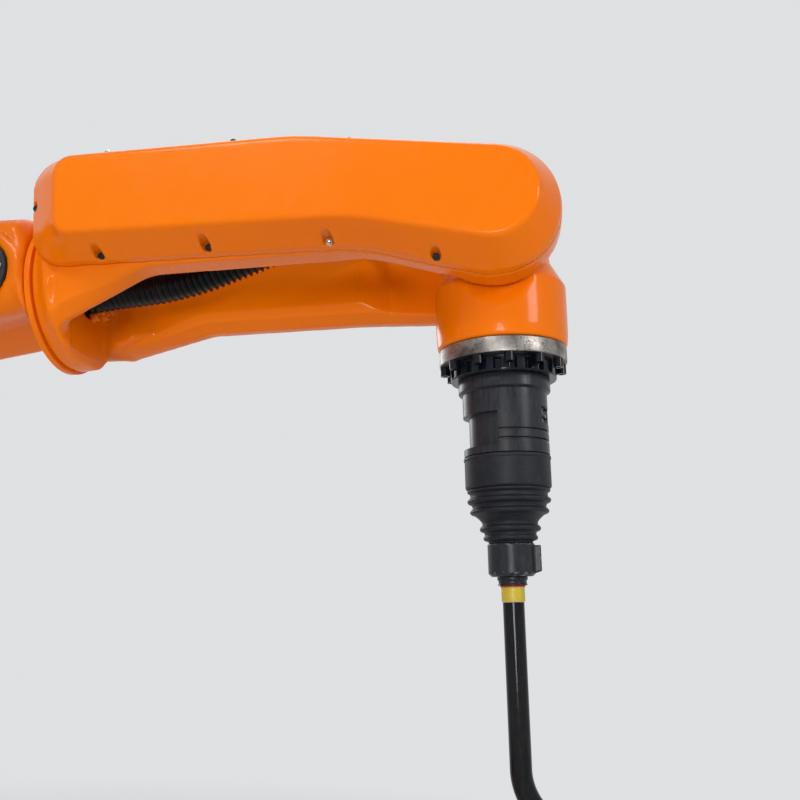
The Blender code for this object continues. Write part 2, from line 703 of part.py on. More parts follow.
def conduit_clamp(name, route, share, floor):
    """A split ring on a foot that holds the conduit off the channel's floor."""
    index = round(share * (len(route) - 1))
    spot = route[index]
    along = (route[min(index + 1, len(route) - 1)] - route[index - 1]).normalized()
    turn = Vector((0.0, 0.0, 1.0)).rotation_difference(along).to_matrix().to_4x4()
    half = CONDUIT_CLAMP_LENGTH / 2.0
    ring = rod(CONDUIT_RADIUS + CONDUIT_CLAMP_WALL, -half, half, SMALL_STEPS)
    clamp = piece(name, moved(ring, spot, turn), shoulder_axis, BLACK_METAL)
    wide = CONDUIT_CLAMP_FOOT / 2.0
    foot = box((-wide, spot.y, -half), (wide, floor - TOUCH, half))
    join(clamp, moved(foot, (spot.x, 0.0, spot.z), turn))
    bore = rod(CONDUIT_RADIUS + TOUCH, -half - CUT_OVERRUN, half + CUT_OVERRUN, SMALL_STEPS)
    cut(clamp, moved(bore, spot, turn))


def extension_ring(x, low, high):
    """One rounded section across the extension."""
    wide = EXTENSION_HALF_WIDTH
    outline = belt(rounded_box((-wide, low), (wide, high), EXTENSION_CORNER), ARC_STEPS // 2)
    return [(x, v, w) for v, w in outline]


def build_elbow():
    """Elbow housing with two motors, and the long extension with an oval panel on each side."""
    corner = ELBOW_CHAMFER_RADIUS
    outline = belt(rounded_box((-ELBOW_BACK, -ELBOW_BOTTOM), (ELBOW_FRONT, ELBOW_TOP), corner))
    piece("elbow_casting", slab(outline, -ARM_PLANE, ELBOW_FAR_SIDE), elbow_axis, ORANGE)
    servo_motor("elbow_motor", elbow_axis, ELBOW_MOTOR_SIDE, ELBOW_MOTOR_LENGTH,
                (0.0, ELBOW_FAR_SIDE + TOUCH, 0.0), Matrix.Rotation(-pi / 2.0, 4, "X"))
    servo_motor("roll_motor", elbow_axis, ROLL_MOTOR_SIDE, ROLL_MOTOR_LENGTH,
                (-ELBOW_BACK - TOUCH, 0.0, ROLL_MOTOR_RISE), Matrix.Rotation(-pi / 2.0, 4, "Y"))
    rear = ELBOW_FRONT + TOUCH
    front = ELBOW_TO_ROLL_JOINT
    axis = -ROLL_AXIS_DROP
    rings = [extension_ring(rear, axis - EXTENSION_BOTTOM_REAR, axis + EXTENSION_TOP_REAR),
             extension_ring(front, axis - EXTENSION_BOTTOM_FRONT, axis + EXTENSION_TOP_FRONT)]
    extension = piece("extension_casting", loft(rings), elbow_axis, ORANGE)
    right = front - SIDE_PANEL_TO_FLANGE
    left = right - SIDE_PANEL_LENGTH
    middle = axis + SIDE_PANEL_RISE
    high = SIDE_PANEL_HALF_HEIGHT
    oval = [(left + high, middle, high, 1), (right - high, middle, high, 1)]
    recess = [(u, v, r + TOUCH, s) for u, v, r, s in oval]
    side = EXTENSION_HALF_WIDTH
    for name, sign in (("side_panel_near", -1.0), ("side_panel_far", 1.0)):
        inner = sign * (side - SIDE_PANEL_SUNK)
        outer = sign * (side - SIDE_PANEL_SUNK + SIDE_PANEL_THICKNESS)
        beyond = sign * (side + CUT_OVERRUN)
        cut(extension, slab(belt(recess), *sorted((inner - sign * TOUCH, beyond))))
        piece(name, slab(belt(oval), *sorted((inner, outer))), elbow_axis, BLACK_PLASTIC)


def fork_circles(end, extra=0.0, lift=0.0):
    """Belt circles of one fork arm, with an extra depth along its lower edge, or its tail lifted."""
    back = ROLL_JOINT_TO_WRIST - FLANGE_THICKNESS - BELL_LENGTH + ARM_INTO_BELL
    corner = FORK_BACK_CORNER
    bend = FORK_TOP_BEND_RADIUS
    return [(0.0, 0.0, end, 1),
            (-FORK_TOP_BEND_BACK, FORK_TOP - FORK_TOP_DROP - bend, bend, 1),
            (corner - back, FORK_TOP - corner, corner, 1),
            (corner / 4.0 - back, corner / 4.0 - FORK_TAIL_LOW - extra + lift, corner / 4.0, 1),
            (-FORK_TAIL_BACK, -FORK_TAIL_DROP - FORK_TAIL_RADIUS - extra, FORK_TAIL_RADIUS, -1),
            (-FORK_WAIST_BACK, -FORK_WAIST_DROP - FORK_WAIST_RADIUS - extra,
             FORK_WAIST_RADIUS, -1)]


def soft_ring(x, middle, half, power):
    """A ring across the forearm, from a circle at power 2 to a soft rectangle at higher powers."""
    ring = []
    for step in range(ROUND_STEPS):
        angle = 2.0 * pi * step / ROUND_STEPS
        across = abs(cos(angle)) ** (2.0 / power) * (1.0 if cos(angle) >= 0.0 else -1.0)
        upward = abs(sin(angle)) ** (2.0 / power) * (1.0 if sin(angle) >= 0.0 else -1.0)
        ring.append((x, middle[0] + half[0] * across, middle[1] + half[1] * upward))
    return ring


def build_forearm():
    """Roll flange, bell and two fork arms in one casting, open above and below the hose."""
    flange_back = -ROLL_JOINT_TO_WRIST + SEAM
    flange_front = flange_back + FLANGE_THICKNESS
    ring = hollow_turned([(HOLLOW_RADIUS, flange_front), (FLANGE_RADIUS, flange_front),
                          (FLANGE_RADIUS, flange_back), (HOLLOW_RADIUS, flange_back)])
    piece("roll_flange", moved(ring, turn=ALONG_X), roll_axis, ORANGE)
    start = flange_front + TOUCH
    wide = (FORK_FAR + FORK_NEAR) / 2.0 - BELL_INSET
    centre = (FORK_FAR - FORK_NEAR) / 2.0
    tall = (FORK_TOP + BELL_LOW) / 2.0 - BELL_INSET
    rise = (FORK_TOP - BELL_LOW) / 2.0
    rings = []
    for along, spread, squareness in BELL_SHARES:
        half = (BELL_RADIUS + (wide - BELL_RADIUS) * spread,
                BELL_RADIUS + (tall - BELL_RADIUS) * spread)
        rings.append(soft_ring(start + BELL_LENGTH * along, (centre * spread, rise * spread),
                               half, squareness))
    forearm = piece("forearm_casting", loft(rings), roll_axis, ORANGE)
    inside = FORK_GAP - CUT_OVERRUN
    rings = []
    for across, lift in NEAR_SHARES:
        y = inside + (FORK_NEAR - inside) * across
        outline = belt(fork_circles(FORK_END_RADIUS, lift=NEAR_TAIL_LIFT * lift))
        rings.append([(u, -y, v) for u, v in outline])
    join(forearm, loft(rings))
    rings = []
    for across, depth in FAR_SHARES:
        y = inside + (FORK_FAR - inside) * across
        outline = belt(fork_circles(FAR_END_RADIUS, FAR_EXTRA_DEPTH * depth))
        rings.append([(u, y, v) for u, v in outline])
    join(forearm, loft(rings))
    front = FORK_END_RADIUS * 2.0
    channel = [(CHANNEL_NEAR_CORNER - CHANNEL_BACK, -FORK_GAP), (front, -FORK_GAP),
               (front, FORK_GAP), (CHANNEL_FAR_CORNER - CHANNEL_BACK, FORK_GAP),
               (-CHANNEL_BACK, CHANNEL_BACK_FAR), (-CHANNEL_BACK, -CHANNEL_BACK_NEAR)]
    cut(forearm, slab(channel, -FORK_TOP * 2.0, FORK_TOP * 2.0, turn=None))
    cut(forearm, moved(rod(HOLLOW_RADIUS, -ROLL_JOINT_TO_WRIST, -CHANNEL_BACK + CUT_OVERRUN),
                       turn=ALONG_X))
    relief = FORK_GAP + RELIEF_DEPTH
    sweep = hollow_turned([(RELIEF_START, relief), (RELIEF_END, relief),
                           (RELIEF_END, -relief), (RELIEF_START, -relief)])
    cut(forearm, moved(sweep, turn=ALONG_Y))
    hub_end = WRIST_HALF_WIDTH + HUB_GAP
    for sign in (-1.0, 1.0):
        hub = rod(HUB_RADIUS, *sorted((sign * hub_end, sign * (FORK_GAP + TOUCH * 4.0))))
        join(forearm, moved(hub, turn=Matrix.Rotation(-pi / 2.0, 4, "X")))
    build_covers()
    build_hose()


def cover_circles(share, smaller):
    """Belt circles of a side cover, from its foot at share 0 to its face at share 1."""
    def mix(foot, face):
        return foot + (face - foot) * share

    back = mix(COVER_BASE_BACK, COVER_FACE_BACK)
    top = FORK_TOP - COVER_DRAFT * share
    low = mix(COVER_BASE_LOW, -COVER_FACE_LOW)
    corner = mix(FORK_BACK_CORNER, COVER_FACE_CORNER)
    end = mix(FORK_END_RADIUS, COVER_FACE_RADIUS) - smaller
    bend = FORK_TOP_BEND_RADIUS
    waist = FORK_WAIST_RADIUS + COVER_DRAFT * share
    drop = FORK_WAIST_DROP - (COVER_DRAFT - COVER_ROUND) * share
    return [(0.0, 0.0, end, 1),
            (-FORK_TOP_BEND_BACK, top - FORK_TOP_DROP - bend, bend, 1),
            (corner - back, top - corner, corner, 1),
            (corner - back, corner - low, corner, 1),
            (-FORK_WAIST_BACK, -drop - waist, waist, -1)]


def build_covers():
    """A drafted cover with a soft face edge on the outside of each fork arm."""
    rounding = COVER_ROUND / COVER_DRAFT
    foot = COVER_FOOT / COVER_DEPTH
    stages = [(0.0, 0.0), (foot / 3.0, foot), (1.0 - rounding, 1.0 - rounding / 2.0),
              (1.0 - rounding / 3.0, 1.0 - rounding / 8.0), (1.0, 1.0)]
    for name, sign, plane, end in (("cover_near", -1.0, FORK_NEAR, FORK_END_RADIUS),
                                   ("cover_far", 1.0, FORK_FAR, FAR_END_RADIUS)):
        rings = []
        for share, depth in stages:
            y = sign * (plane + TOUCH + depth * COVER_DEPTH)
            outline = belt(cover_circles(share, FORK_END_RADIUS - end))
            rings.append([(u, y, v) for u, v in outline])
        piece(name, loft(rings), roll_axis, ORANGE)


def build_hose():
    """Hose from the hollow roll joint through the fork, held by a bracket across the channel."""
    points = [(-ROLL_JOINT_TO_WRIST * back, 0.0, HOSE_RISE * rise) for back, rise in HOSE_SHARES]
    route = smooth_route(points, HOSE_POINTS)
    piece("cable_hose", tube(route, HOSE_RADIUS), roll_axis, RUBBER)
    tall = BRACKET_HALF_HEIGHT
    back = -BRACKET_BACK - BRACKET_THICKNESS / 2.0
    front = back + BRACKET_THICKNESS
    wide = FORK_GAP - TOUCH
    plate = box((back, -wide, HOSE_RISE - tall), (front, wide, HOSE_RISE + tall))
    bracket = piece("hose_bracket", plate, roll_axis, BLACK_METAL)
    hole = rod(HOSE_RADIUS + TOUCH, back - CUT_OVERRUN, front + CUT_OVERRUN, SMALL_STEPS)
    cut(bracket, moved(hole, (0.0, 0.0, HOSE_RISE), ALONG_X))


def build_wrist():
    """Plumb wrist barrel between the fork arms, with a slanted flat on each side."""
    profile = [(0.0, -WRIST_TAPER_DROP), (WRIST_TAPER_RADIUS, -WRIST_TAPER_DROP),
               (WRIST_RADIUS, -WRIST_SHOULDER_DROP), (WRIST_RADIUS, -RING_TOP + TOUCH),
               (0.0, -RING_TOP + TOUCH)]
    wrist = piece("wrist_housing", turned(profile), wrist_axis, ORANGE)
    barrel = rod(WRIST_BARREL_RADIUS, -WRIST_HALF_WIDTH, WRIST_HALF_WIDTH)
    join(wrist, moved(barrel, turn=ALONG_Y))
    reach = WRIST_RADIUS * 2.0
    for sign in (-1.0, 1.0):
        slope = (WRIST_RADIUS - WRIST_HALF_WIDTH) / (WRIST_FLAT_END_DROP - WRIST_FLAT_DROP)
        outline = [(WRIST_HALF_WIDTH, -WRIST_FLAT_DROP),
                   (reach, -WRIST_FLAT_DROP - (reach - WRIST_HALF_WIDTH) / slope),
                   (reach, reach), (WRIST_HALF_WIDTH, reach)]
        outline = [(v, sign * u) for u, v in outline]
        block = slab(outline, -reach, reach, turn=None)
        block.transform(Matrix.Rotation(-pi / 2.0, 4, "Y"))
        cut(wrist, block)


def build_tool():
    """Steel flange ring and the stepped tool train that hangs from it."""
    z = -RING_TOP - TOUCH
    steel = rod(RING_RADIUS, z - RING_HEIGHT, z)
    piece("wrist_ring", steel, tool_axis, STEEL)
    z -= RING_HEIGHT + TOUCH
    adapter = piece("adapter_ring", rod(ADAPTER_RADIUS, z - ADAPTER_HEIGHT, z), tool_axis,
                    BLACK_METAL)
    for index in range(ADAPTER_SLOTS):
        half = ADAPTER_SLOT_WIDTH / 2.0
        slot = box((ADAPTER_RADIUS - ADAPTER_SLOT_DEPTH, -half, z - ADAPTER_HEIGHT - CUT_OVERRUN),
                   (ADAPTER_RADIUS + CUT_OVERRUN, half, z - ADAPTER_HEIGHT / 3.0))
        cut(adapter, moved(slot, turn=Matrix.Rotation(2.0 * pi * index / ADAPTER_SLOTS, 4, "Z")))
    z -= ADAPTER_HEIGHT + TOUCH
    groove = BODY_GROOVE_DEPTH
    profile = [(0.0, z), (BAND_RADIUS, z), (BAND_RADIUS, z - BAND_HEIGHT),
               (BODY_RADIUS, z - BAND_HEIGHT)]
    low = z - BAND_HEIGHT
    for count in range(2):
        edge = low - BODY_GROOVE_DROP - BODY_GROOVE_PITCH * count
        profile += [(BODY_RADIUS, edge), (BODY_RADIUS - groove, edge),
                    (BODY_RADIUS - groove, edge - BODY_GROOVE_WIDTH),
                    (BODY_RADIUS, edge - BODY_GROOVE_WIDTH)]
    z -= BAND_HEIGHT + BODY_HEIGHT
    profile += [(BODY_RADIUS, z), (0.0, z)]
    piece("sensor_body", turned(profile), tool_axis, BLACK_METAL)
    z -= TOUCH
    sleeve = [(0.0, z), (SLEEVE_RADIUS - COLLAR_BEVEL, z), (SLEEVE_RADIUS, z - COLLAR_BEVEL),
              (SLEEVE_RADIUS, z - SLEEVE_HEIGHT), (0.0, z - SLEEVE_HEIGHT)]
    piece("rubber_sleeve", turned(sleeve), tool_axis, RUBBER)
    z -= SLEEVE_HEIGHT + TOUCH
    piece("bellows", turned(bellows_profile(z), SMALL_STEPS), tool_axis, RUBBER)
    z -= BELLOWS_HEIGHT + TOUCH
    build_collar(z)
    z -= COLLAR_HEIGHT + TOUCH
    piece("ferrule", rod(FERRULE_RADIUS, z - FERRULE_HEIGHT, z, SMALL_STEPS), tool_axis,
          BLACK_METAL)
    z -= FERRULE_HEIGHT + TOUCH
    piece("label_band", rod(LABEL_RADIUS, z - LABEL_HEIGHT, z, SMALL_STEPS), tool_axis, YELLOW)
    z -= LABEL_HEIGHT + TOUCH
    build_torch(z)


def bellows_profile(z):
    """Ridges that step down from the sleeve to the collar, as heights and radii of the fall."""
    top, low, neck = BELLOWS_TOP_RADIUS, BELLOWS_LOW_RADIUS, BELLOWS_NECK_RADIUS
    span = top - neck
    shares = [(0.00, 0.86), (0.10, 0.86), (0.16, 1.00), (0.27, 1.00), (0.31, 0.80), (0.37, 0.80),
              (0.41, 0.88), (0.47, 0.88), (0.51, 0.56), (0.64, 0.28), (0.70, 0.42), (0.77, 0.42),
              (0.81, 0.18), (0.86, 0.18), (0.89, 0.26), (0.94, 0.26), (0.97, 0.02), (1.00, 0.02)]
    points = [(neck + span * out, z - BELLOWS_HEIGHT * fall) for fall, out in shares]
    return [(0.0, z)] + points + [(0.0, z - BELLOWS_HEIGHT)]


def build_collar(z):
    """Split clamp collar with its screw lug."""
    low = z - COLLAR_HEIGHT
    profile = [(0.0, z), (COLLAR_RADIUS, z), (COLLAR_RADIUS, low + COLLAR_BEVEL),
               (COLLAR_RADIUS - COLLAR_BEVEL, low), (0.0, low)]
    collar = piece("clamp_collar", turned(profile, SMALL_STEPS * 2), tool_axis, BLACK_METAL)
    lug = box((0.0, -COLLAR_LUG_HALF, low + COLLAR_BEVEL),
              (COLLAR_LUG_OUT, COLLAR_LUG_HALF, z - COLLAR_BEVEL))
    join(collar, lug)
    slot = box((COLLAR_RADIUS - COLLAR_BEVEL * 2.0, -COLLAR_SLOT / 2.0, low - CUT_OVERRUN),
               (COLLAR_LUG_OUT + CUT_OVERRUN, COLLAR_SLOT / 2.0, z + CUT_OVERRUN))
    cut(collar, slot)


def build_torch(z):
    """Straight tube, a bend towards the front, the gas nozzle and the contact tip in it."""
    route = [(0.0, 0.0, z), (0.0, 0.0, z - TUBE_STRAIGHT)]
    bend = TUBE_BEND_RADIUS
    for step in range(1, ARC_STEPS + 1):
        angle = TUBE_BEND * step / ARC_STEPS
        route.append((bend - bend * cos(angle), 0.0, z - TUBE_STRAIGHT - bend * sin(angle)))
    along = Vector((sin(TUBE_BEND), 0.0, -cos(TUBE_BEND)))
    end = Vector(route[-1]) + along * TUBE_END
    route.append(end)
    piece("torch_tube", tube(route, TUBE_RADIUS, 4), tool_axis, BLACK_METAL)
    turn = Matrix.Rotation(pi - TUBE_BEND, 4, "Y")
    mouth = NOZZLE_LENGTH
    floor = NOZZLE_LENGTH - NOZZLE_BORE_DEPTH
    taper = NOZZLE_LENGTH / 2.0
    profile = [(0.0, floor), (NOZZLE_BORE, floor), (NOZZLE_BORE, mouth),
               (NOZZLE_MOUTH_RADIUS, mouth), (NOZZLE_RADIUS, taper), (NOZZLE_RADIUS, 0.0),
               (0.0, 0.0)]
    start = end + along * TOUCH
    piece("gas_nozzle", moved(turned(profile, SMALL_STEPS), start, turn), tool_axis, COPPER)
    tip = [(0.0, mouth + TIP_OUT), (TIP_RADIUS / 2.0, mouth + TIP_OUT),
           (TIP_RADIUS, mouth - TIP_OUT), (TIP_RADIUS, floor + TOUCH), (0.0, floor + TOUCH)]
    piece("contact_tip", moved(turned(tip, SMALL_STEPS), start, turn), tool_axis, COPPER)


build_base()
build_turret()
build_lower_arm()
build_elbow()
build_forearm()
build_wrist()
build_tool()
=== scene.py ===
"""Looks of a six-axis industrial robot arm: enamelled castings, forearm covers, hose, wrist and
the torch's tool train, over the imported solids.

Lengths are metres. Each casting is a solid described by a distance field and skinned on a grid;
the round pieces are profiles turned about an axis, and the hoses are profiles along a path.
"""
from math import cos, pi, radians, sin

import bpy
import numpy as np
from mathutils import Matrix, Vector


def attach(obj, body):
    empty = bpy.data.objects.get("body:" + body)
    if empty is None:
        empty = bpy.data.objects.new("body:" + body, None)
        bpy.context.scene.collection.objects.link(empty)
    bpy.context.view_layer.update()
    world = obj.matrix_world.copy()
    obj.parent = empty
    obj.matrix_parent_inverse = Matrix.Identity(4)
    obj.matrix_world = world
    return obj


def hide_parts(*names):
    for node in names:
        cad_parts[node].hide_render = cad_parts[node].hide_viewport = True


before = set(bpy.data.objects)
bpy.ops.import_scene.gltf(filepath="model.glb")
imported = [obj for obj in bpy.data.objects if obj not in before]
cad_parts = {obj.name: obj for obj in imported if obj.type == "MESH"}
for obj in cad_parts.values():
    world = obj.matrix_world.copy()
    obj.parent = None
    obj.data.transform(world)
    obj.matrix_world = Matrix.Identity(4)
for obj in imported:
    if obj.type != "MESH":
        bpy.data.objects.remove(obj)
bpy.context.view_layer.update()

# Joint places at rest, the rise of each level line, and the gap left between pieces that meet
SHOULDER = (0.155, 0.0, 0.45)
ELBOW = (0.402214, 0.0, 1.210845)
WRIST = (1.412195, 0.0, 1.246385)
LOWER_RISE, UPPER_RISE, TOOL_RISE = radians(-18.0), radians(4.0), radians(1.1)
TOUCH = 0.0003


def level(body, origin=(0.0, 0.0, 0.0), rise=0.0):
    """A body's own frame: its name, its origin, and its level line's X, Y and Z directions."""
    return body, np.array(origin), np.array([[cos(rise), 0.0, sin(rise)], [0.0, 1.0, 0.0],
                                             [-sin(rise), 0.0, cos(rise)]])


BASE, TURRET, LOWER = level("base"), level("turret"), level("lower_arm", SHOULDER, LOWER_RISE)
UPPER, FORE = level("upper_arm", ELBOW, UPPER_RISE), level("forearm", WRIST, UPPER_RISE)
HAND, TOOL = level("wrist", WRIST, TOOL_RISE), level("tool", WRIST, TOOL_RISE)


def turned_frame(where, spot, across, along):
    """A frame at a spot of a body's frame, with its Z along one of the body's directions and its
    X across it."""
    body, origin, axes = where
    x, z = np.array(across, float) @ axes, np.array(along, float) @ axes
    x = x - z * (x @ z)
    x /= np.linalg.norm(x)
    return body, origin + np.array(spot) @ axes, np.stack([x, np.cross(z, x), z])


# Distance fields: negative inside the solid, in metres

def belt(circles):
    """A belt round circles (u, v, radius, side), side -1 pressing it in from outside: each
    tangent's normal leans by asin((s0 r0 - s1 r1) / distance) from the line of centres, and the
    belt follows each circle from one tangent's normal to the next one's."""
    ring = np.array(circles, float)
    after = np.roll(ring, -1, axis=0)
    along = after[:, :2] - ring[:, :2]
    length = np.hypot(*along.T)
    lift = np.arcsin((ring[:, 3] * ring[:, 2] - after[:, 3] * after[:, 2]) / length)
    leave = np.arctan2(along[:, 1], along[:, 0]) - pi / 2.0 + lift
    enter = np.roll(leave, 1)
    side = ring[:, 3]
    sweep = (leave - enter) * side % (2.0 * pi)
    reach = (side * ring[:, 2])[:, None]
    first = ring[:, :2] + reach * np.stack([np.cos(enter), np.sin(enter)], axis=1)
    last = ring[:, :2] + reach * np.stack([np.cos(leave), np.sin(leave)], axis=1)
    return ring, enter, sweep, first, last, np.roll(first, -1, axis=0)


def gap_to(outline, u, v):
    """Signed distance to a belt: the least distance to its arcs and tangents, negative where a
    ray crosses its chords an odd number of times, turned round between a chord and its arc."""
    near = np.full(np.broadcast(u, v).shape, 9.0)
    odd = np.zeros(near.shape, bool)
    for (cu, cv, radius, side), enter, sweep, first, last, onward in zip(*outline):
        out = np.hypot(u - cu, v - cv)
        turn = (np.arctan2(side * (v - cv), side * (u - cu)) - enter) * side % (2.0 * pi)
        near = np.where(turn <= sweep, np.minimum(near, np.abs(out - radius)), near)
        for (u0, v0), (u1, v1) in ((first, last), (last, onward)):
            du, dv = u1 - u0, v1 - v0
            cross = du * (v - v0) - dv * (u - u0)
            odd ^= ((v0 <= v) != (v1 <= v)) & ((cross > 0.0) == (dv > 0.0))
            if u0 == first[0] and v0 == first[1]:
                odd ^= (out < radius) & (side * cross < 0.0)
            else:
                share = np.clip(((u - u0) * du + (v - v0) * dv) / (du * du + dv * dv), 0.0, 1.0)
                near = np.minimum(near, np.hypot(u - u0 - share * du, v - v0 - share * dv))
    return np.where(odd, -near, near)


def rounded(u, v, low, high, corner):
    """Distance to a rectangle with round corners: that to its inner rectangle, less the corner."""
    du = np.abs(u - (low[0] + high[0]) / 2.0) - (high[0] - low[0]) / 2.0 + corner
    dv = np.abs(v - (low[1] + high[1]) / 2.0) - (high[1] - low[1]) / 2.0 + corner
    inner = np.minimum(np.maximum(du, dv), 0.0)
    return np.hypot(np.maximum(du, 0.0), np.maximum(dv, 0.0)) + inner - corner


def merge(a, b, soft):
    """Two solids as one, with a fillet: the lower field, less a parabola where they are close."""
    share = np.clip(0.5 + 0.5 * (b - a) / soft, 0.0, 1.0)
    return b + (a - b) * share - soft * share * (1.0 - share)


def trim(a, b, soft):
    """What two solids share, with a rounded edge: the upper field, plus the same parabola."""
    return -merge(-a, -b, soft)


def carve(a, b, soft):
    """The first solid less the second."""
    return -merge(-a, b, soft)


def between(value, low, high):
    """Field of a layer: distance from its middle less half its thickness."""
    return np.abs(value - (low + high) / 2.0) - (high - low) / 2.0


def slab(solid, value, low, high, soft):
    """What a solid and a layer share."""
    return trim(solid, between(value, low, high), soft)


# How far from a point its bend is measured, and what scales it to -1 to 1
BEND_REACH, BEND_SCALE = 0.0022, 0.0025


def skin(field, low, high, cell):
    """Surface of a field's solid: each grid cell that it crosses gets one vertex at the mean of
    the crossings on the cell's edges, each crossed grid edge one quad round it, and two Newton
    steps p - f grad f / |grad f|^2 bring the vertices on to the surface. Also gives the surface's
    bend, the field's Laplacian, positive on ridges and negative in creases."""
    low, high = np.array(low) - 1.5 * cell, np.array(high) + 1.5 * cell
    count = np.ceil((high - low) / cell).astype(int) + 1
    grid = np.ix_(*[low[k] + cell * np.arange(count[k]) for k in range(3)])
    value = np.array(np.broadcast_to(field(*grid), count))
    cells = count - 1
    step = np.array([cells[1] * cells[2], cells[2], 1])
    total = np.zeros((3, cells.prod()))
    hits = np.zeros(cells.prod())
    quads = []
    for axis in range(3):
        first = np.take(value, range(count[axis] - 1), axis)
        second = np.take(value, range(1, count[axis]), axis)
        index = np.argwhere((first < 0.0) != (second < 0.0))
        a, b = first[tuple(index.T)], second[tuple(index.T)]
        spot = index.astype(float)
        spot[:, axis] += a / (a - b)
        corner = index @ step
        one, two = step[(axis + 1) % 3], step[(axis + 2) % 3]
        ring = np.stack([corner, corner - one, corner - one - two, corner - two], axis=1)
        for k in range(3):
            total[k] += np.bincount(ring.ravel(), np.repeat(spot[:, k], 4), len(hits))
        hits += np.bincount(ring.ravel(), minlength=len(hits))
        quads.append(np.where((a < 0.0)[:, None], ring, ring[:, ::-1]))
    used = np.flatnonzero(hits)
    number = np.zeros(len(hits), int)
    number[used] = np.arange(len(used))
    points = low + cell * (total[:, used] / hits[used]).T
    nudge = cell * 0.2
    for _ in range(2):
        slope, here = slope_of(field, points, nudge)
        size = np.maximum((slope ** 2).sum(axis=1), 0.04)
        move = slope * (here / size)[:, None]
        far = np.maximum(np.linalg.norm(move, axis=1) / (0.7 * cell), 1.0)
        points = points - move / far[:, None]
    bend = sum(field(*(points + BEND_REACH * side * np.eye(3)[k]).T)
               for k in range(3) for side in (-1.0, 1.0)) - 6.0 * field(*points.T)
    return points, number[np.concatenate(quads)], bend / BEND_REACH ** 2


def slope_of(field, points, nudge):
    """The field's gradient and value at points, by central differences."""
    slope = np.stack([field(*(points + nudge * np.eye(3)[k]).T)
                      - field(*(points - nudge * np.eye(3)[k]).T) for k in range(3)], axis=1)
    return slope / (2.0 * nudge), field(*points.T)


# Turned and swept surfaces

def softened(profile, radius, steps=3):
    """A profile with its inner corners rounded: each corner becomes the arc of a quadratic curve
    between the points at the rounding's distance along its two sides."""
    p = np.array(profile, float)
    before, corner, after = p[:-2], p[1:-1], p[2:]
    one, two = before - corner, after - corner
    long_one = np.linalg.norm(one, axis=1, keepdims=True)
    long_two = np.linalg.norm(two, axis=1, keepdims=True)
    reach = np.minimum(radius, 0.45 * np.minimum(long_one, long_two))
    start, end = corner + one / long_one * reach, corner + two / long_two * reach
    t = np.linspace(0.0, 1.0, steps + 1)[None, :, None]
    arc = (1 - t) ** 2 * start[:, None] + 2 * t * (1 - t) * corner[:, None] + t * t * end[:, None]
    return np.concatenate([p[:1], arc.reshape(-1, 2), p[-1:]])


def tube(rows, sides):
    """Faces of a closed tube: quads between its rows of points, and a fan at each end, round the
    first and the second of the two points that follow them."""
    k = np.arange(sides)
    after = (k + 1) % sides
    row = np.arange(rows - 1)[:, None] * sides
    quads = np.stack([row + k, row + sides + k, row + sides + after, row + after], axis=-1)
    middle, last = np.full(sides, rows * sides), (rows - 1) * sides
    return [quads.reshape(-1, 4), np.stack([middle, k, after], axis=-1),
            np.stack([middle + 1, last + after, last + k], axis=-1)]


def turned(profile, soft=0.0, sides=96, swell=None):
    """A profile of (radius, height) from top to bottom, closed to the axis at both ends, its
    corners softened, turned about Z: x = r cos a, y = r sin a. swell(a, z) is added to r."""
    profile = np.array([(0.0, profile[0][1]), *profile, (0.0, profile[-1][1])], float)
    if soft:
        profile = softened(profile, soft)
    angle = np.arange(sides) * 2.0 * pi / sides
    radius, height = profile[1:-1, :1], profile[1:-1, 1:]
    if swell is not None:
        radius = radius + swell(angle[None, :], height)
    rows = np.stack([radius * np.cos(angle), radius * np.sin(angle),
                     height + 0.0 * angle], axis=-1).reshape(-1, 3)
    points = np.concatenate([rows, [[0.0, 0.0, profile[0, 1]], [0.0, 0.0, profile[-1, 1]]]])
    return points, tube(len(profile) - 2, sides)


def swept(path, radius, across, sides=40):
    """A round profile carried along a path: p(s) + r(s) (cos a N + sin a B), where N is the
    tangent times a fixed direction across, and B the third direction. Its faces are a tube's,
    wound the other way."""
    path = np.array(path, float)
    tangent = np.gradient(path, axis=0)
    tangent /= np.linalg.norm(tangent, axis=1, keepdims=True)
    one = np.cross(tangent, across)
    one /= np.linalg.norm(one, axis=1, keepdims=True)
    two = np.cross(tangent, one)
    angle = np.arange(sides) * 2.0 * pi / sides
    ring = one[:, None] * np.cos(angle)[None, :, None] + two[:, None] * np.sin(angle)[None, :, None]
    rows = path[:, None] + ring * np.broadcast_to(radius, len(path))[:, None, None]
    points = np.concatenate([rows.reshape(-1, 3), path[:1], path[-1:]])
    return points, [np.roll(kind[:, ::-1], 1, axis=1) for kind in tube(len(path), sides)]


def route(knots, count):
    """Points at even steps on the smooth curve through the knots, each span the cubic
    (2b + (c-a)t + (2a-5b+4c-d)t^2 + (3b-a-3c+d)t^3) / 2."""
    k = np.array(knots, float)
    k = np.concatenate([[2.0 * k[0] - k[1]], k, [2.0 * k[-1] - k[-2]]])
    t = np.linspace(0.0, 1.0, 40, endpoint=False)[None, :, None]
    a, b, c, d = (k[i:len(k) - 3 + i, None] for i in range(4))
    dense = 0.5 * (2 * b + (c - a) * t + (2 * a - 5 * b + 4 * c - d) * t ** 2
                   + (3 * b - a - 3 * c + d) * t ** 3)
    dense = np.concatenate([dense.reshape(-1, 3), k[-2:-1]])
    run = np.concatenate([[0.0], np.cumsum(np.linalg.norm(np.diff(dense, axis=0), axis=1))])
    even = np.linspace(0.0, run[-1], count)
    return np.stack([np.interp(even, run, dense[:, i]) for i in range(3)], axis=1), even


def aimed(points, spot, along):
    """Points made round Z, turned so that +Z runs along a direction, and moved to a spot."""
    turn = Vector((0.0, 0.0, 1.0)).rotation_difference(Vector(along)).to_matrix()
    return points @ np.array(turn).T + np.array(spot)


